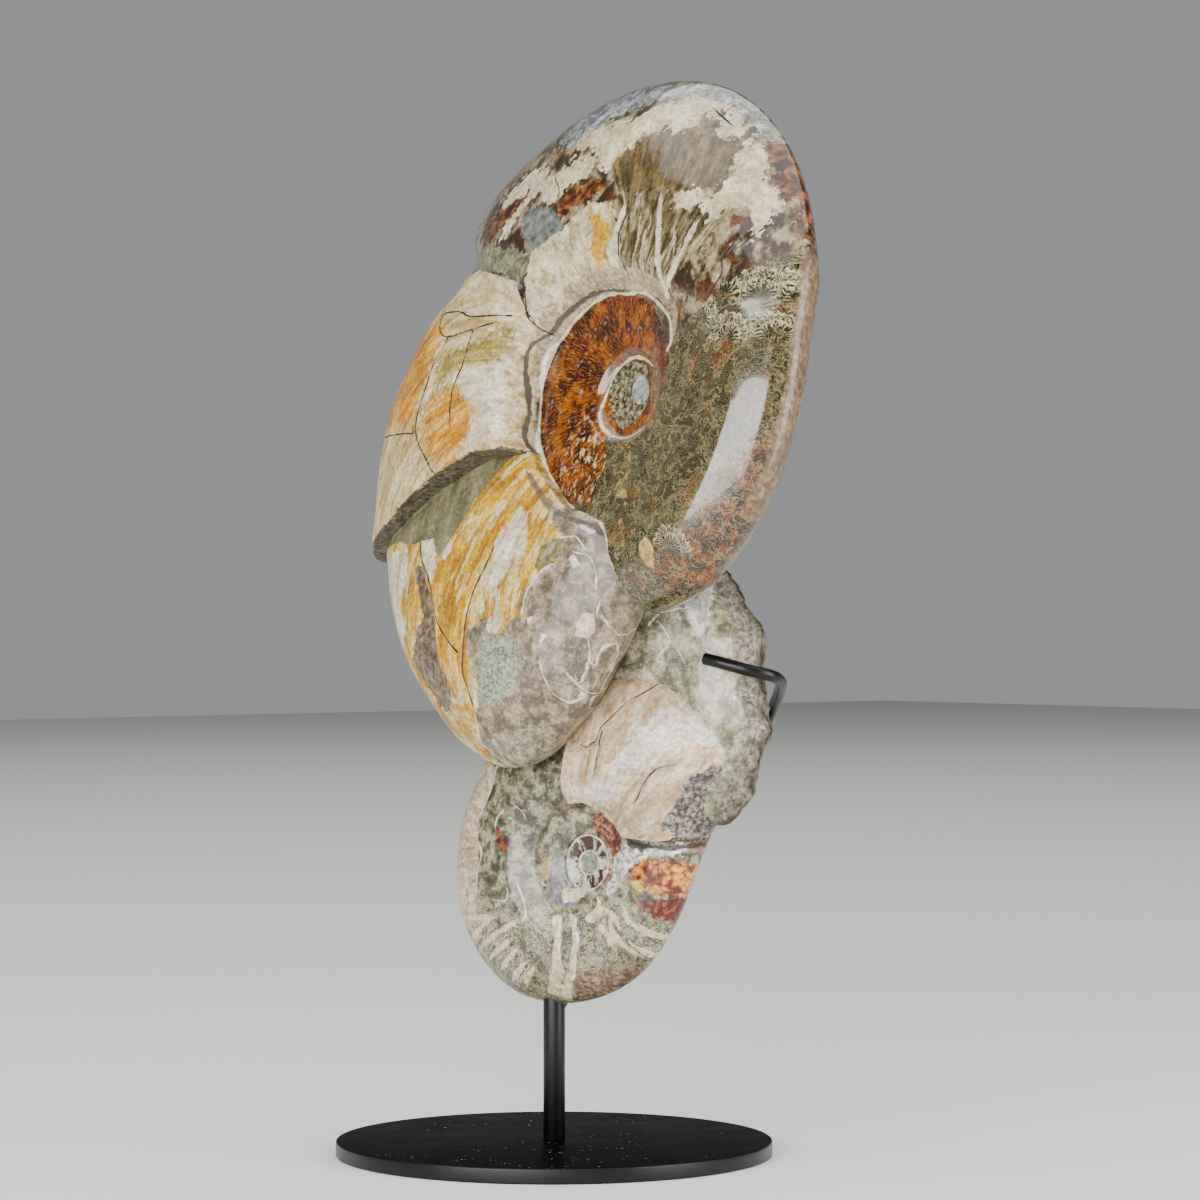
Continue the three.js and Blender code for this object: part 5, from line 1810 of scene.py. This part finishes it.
def rounded(radius, low, high, edge, steps=5):
    """Profile of a disc or bar whose two rims are rounded."""
    profile = [(0, low)]
    for k in range(steps + 1):
        turn = math.pi / 2 * k / steps
        profile.append((radius - edge + edge * math.sin(turn), low + edge - edge * math.cos(turn)))
    for k in range(steps + 1):
        turn = math.pi / 2 * k / steps
        profile.append((radius - edge + edge * math.cos(turn), high - edge + edge * math.sin(turn)))
    return [*profile, (0, high)]


class SPECIMEN_OT_stand(bpy.types.Operator):
    """Build the round plate, the post and the hooked prong"""

    bl_idname = "specimen.stand"
    bl_label = "Stand"

    def execute(self, context):
        sizes = context.scene.stand_sizes
        steel = steel_material()
        plate = turned("Plate", rounded(sizes.plate / 2, 0, sizes.thick, 0.0008), 192)
        settle(plate, "base_plate", None, steel)
        post = turned("Post", rounded(sizes.post / 2, sizes.thick, 0.108, 0.0002, 2), 48)
        settle(post, "post", None, steel)
        curve = bpy.data.curves.new("Prong path", "CURVE")
        curve.dimensions = "3D"
        path = bent_path(PRONG_STOPS)
        spline = curve.splines.new("POLY")
        spline.points.add(len(path) - 1)
        for point, spot in zip(spline.points, path):
            point.co = (*(spot * MM), 1)
        prong = link("Prong", curve)
        tree = rod_tree()
        nodes = prong.modifiers.new("Sweep", "NODES")
        nodes.node_group = tree
        found = {item.name: item.identifier for item in tree.interface.items_tree
                 if item.item_type == "SOCKET" and item.in_out == "INPUT"}
        nodes[found["Radius"]] = sizes.prong / 2
        nodes[found["Material"]] = steel
        prong = plain(prong, "Prong")
        outward(prong.data)
        settle(prong, "prong", None, steel, 50)
        return {"FINISHED"}


# Power of the right box, the left box and the ceiling, as multiples of the side light
RIGHT_BOX, LEFT_BOX, CEILING = 1.2, 5.2, 15


def aimed(name, where, target, size, power):
    """Soft box at a place, turned toward its target; size in m, power in watts."""
    lamp = bpy.data.lights.new(name, "AREA")
    lamp.shape = "RECTANGLE"
    lamp.size, lamp.size_y = size
    lamp.energy = power
    holder = link(name, lamp)
    holder.location = where
    holder.rotation_euler = (Vector(target) - Vector(where)).to_track_quat("-Z", "Y").to_euler()


class SPECIMEN_OT_stage(bpy.types.Operator):
    """Build the floor, the lights and the camera"""

    bl_idname = "specimen.stage"
    bl_label = "Stage"

    def execute(self, context):
        looks = context.scene.stage_looks
        material = bpy.data.materials.new("Pale floor")
        material.use_nodes = True
        shader = next(n for n in material.node_tree.nodes if n.type == "BSDF_PRINCIPLED")
        shader.inputs["Base Color"].default_value = looks.floor
        shader.inputs["Roughness"].default_value = 0.9
        floor = link("Floor", mesh_from("Floor", [(-6, -6, 0), (6, -6, 0), (6, 6, 0), (-6, 6, 0)],
                                        [(0, 1, 2, 3)]))
        floor.data.materials.append(material)
        world = bpy.data.worlds.new("Room")
        context.scene.world = world
        world.use_nodes = True
        wire = Wiring(world.node_tree)
        way = wire.node("ShaderNodeSeparateXYZ", wire.node("ShaderNodeTexCoord").outputs["Generated"])
        glow = wire.spread(way.outputs[2], 0.1, 0.5, looks.horizon, looks.overhead, smooth=True)
        background = world.node_tree.nodes["Background"]
        background.inputs[0].default_value = (0.86, 0.87, 0.89, 1)
        wire.feed(background.inputs[1], glow)

        across = Vector((math.cos(CAMERA_TURN), math.sin(CAMERA_TURN), 0))
        toward = Vector((math.sin(CAMERA_TURN), -math.cos(CAMERA_TURN), 0))
        middle = Vector((0, 0, 0.3))

        def spot(turn, far, high):
            """Place at an angle from the camera's side, so far from the middle and so much above."""
            turn = math.radians(turn)
            return middle + far * (math.cos(turn) * toward + math.sin(turn) * across) + Vector(
                (0, 0, high))

        aimed("Right box", spot(62, 1.3, 0.1), middle, (0.7, 1.1), looks.key * RIGHT_BOX)
        aimed("Left box", spot(-28, 2.2, 0.38), middle, (2.2, 1.3), looks.key * LEFT_BOX)
        aimed("Ceiling", Vector((0, 0, 4)), Vector((0, 0, 0)), (7, 7), looks.key * CEILING)
        camera = bpy.data.cameras.new("Camera")
        camera.sensor_width = 36
        camera.lens = camera.sensor_width * CAMERA_FOCAL / CAMERA_PICTURE
        camera.clip_start, camera.clip_end = 0.05, 60
        holder = link("Camera", camera)
        holder.location = CAMERA_FAR * toward + CAMERA_SIDE * across + Vector((0, 0, CAMERA_HIGH))
        holder.rotation_euler = (-toward).to_track_quat("-Z", "Y").to_euler()
        context.scene.camera = holder
        return {"FINISHED"}


class SPECIMEN_PT_sidebar(bpy.types.Panel):
    """Sidebar panel with the sizes and one button for each piece"""

    bl_idname = "SPECIMEN_PT_sidebar"
    bl_label = "Ammonite Specimen"
    bl_space_type = "VIEW_3D"
    bl_region_type = "UI"
    bl_category = "Ammonite"

    def draw(self, context):
        for group_name in ("large_coil", "small_coil", "stand_sizes", "stage_looks"):
            box = self.layout.box()
            settings = getattr(context.scene, group_name)
            for name in settings.__annotations__:
                box.prop(settings, name)
        for operator in OPERATORS:
            self.layout.operator(operator.bl_idname)


GROUPS = (CoilSizes, SmallCoilSizes, StandSizes, StageLooks)
OPERATORS = (SPECIMEN_OT_large_ammonite, SPECIMEN_OT_body_chamber, SPECIMEN_OT_small_ammonite,
             SPECIMEN_OT_rock, SPECIMEN_OT_stand, SPECIMEN_OT_stage)


def register():
    for kind in (*GROUPS, *OPERATORS, SPECIMEN_PT_sidebar):
        bpy.utils.register_class(kind)
    bpy.types.Scene.large_coil = bpy.props.PointerProperty(type=CoilSizes)
    bpy.types.Scene.small_coil = bpy.props.PointerProperty(type=SmallCoilSizes)
    bpy.types.Scene.stand_sizes = bpy.props.PointerProperty(type=StandSizes)
    bpy.types.Scene.stage_looks = bpy.props.PointerProperty(type=StageLooks)


def unregister():
    for name in ("large_coil", "small_coil", "stand_sizes", "stage_looks"):
        delattr(bpy.types.Scene, name)
    for kind in reversed((*GROUPS, *OPERATORS, SPECIMEN_PT_sidebar)):
        bpy.utils.unregister_class(kind)


def main():
    register()
    bpy.ops.specimen.large_ammonite()
    bpy.ops.specimen.body_chamber()
    bpy.ops.specimen.small_ammonite()
    bpy.ops.specimen.rock()
    bpy.ops.specimen.stand()
    bpy.ops.specimen.stage()


if __name__ == "__main__":
    main()
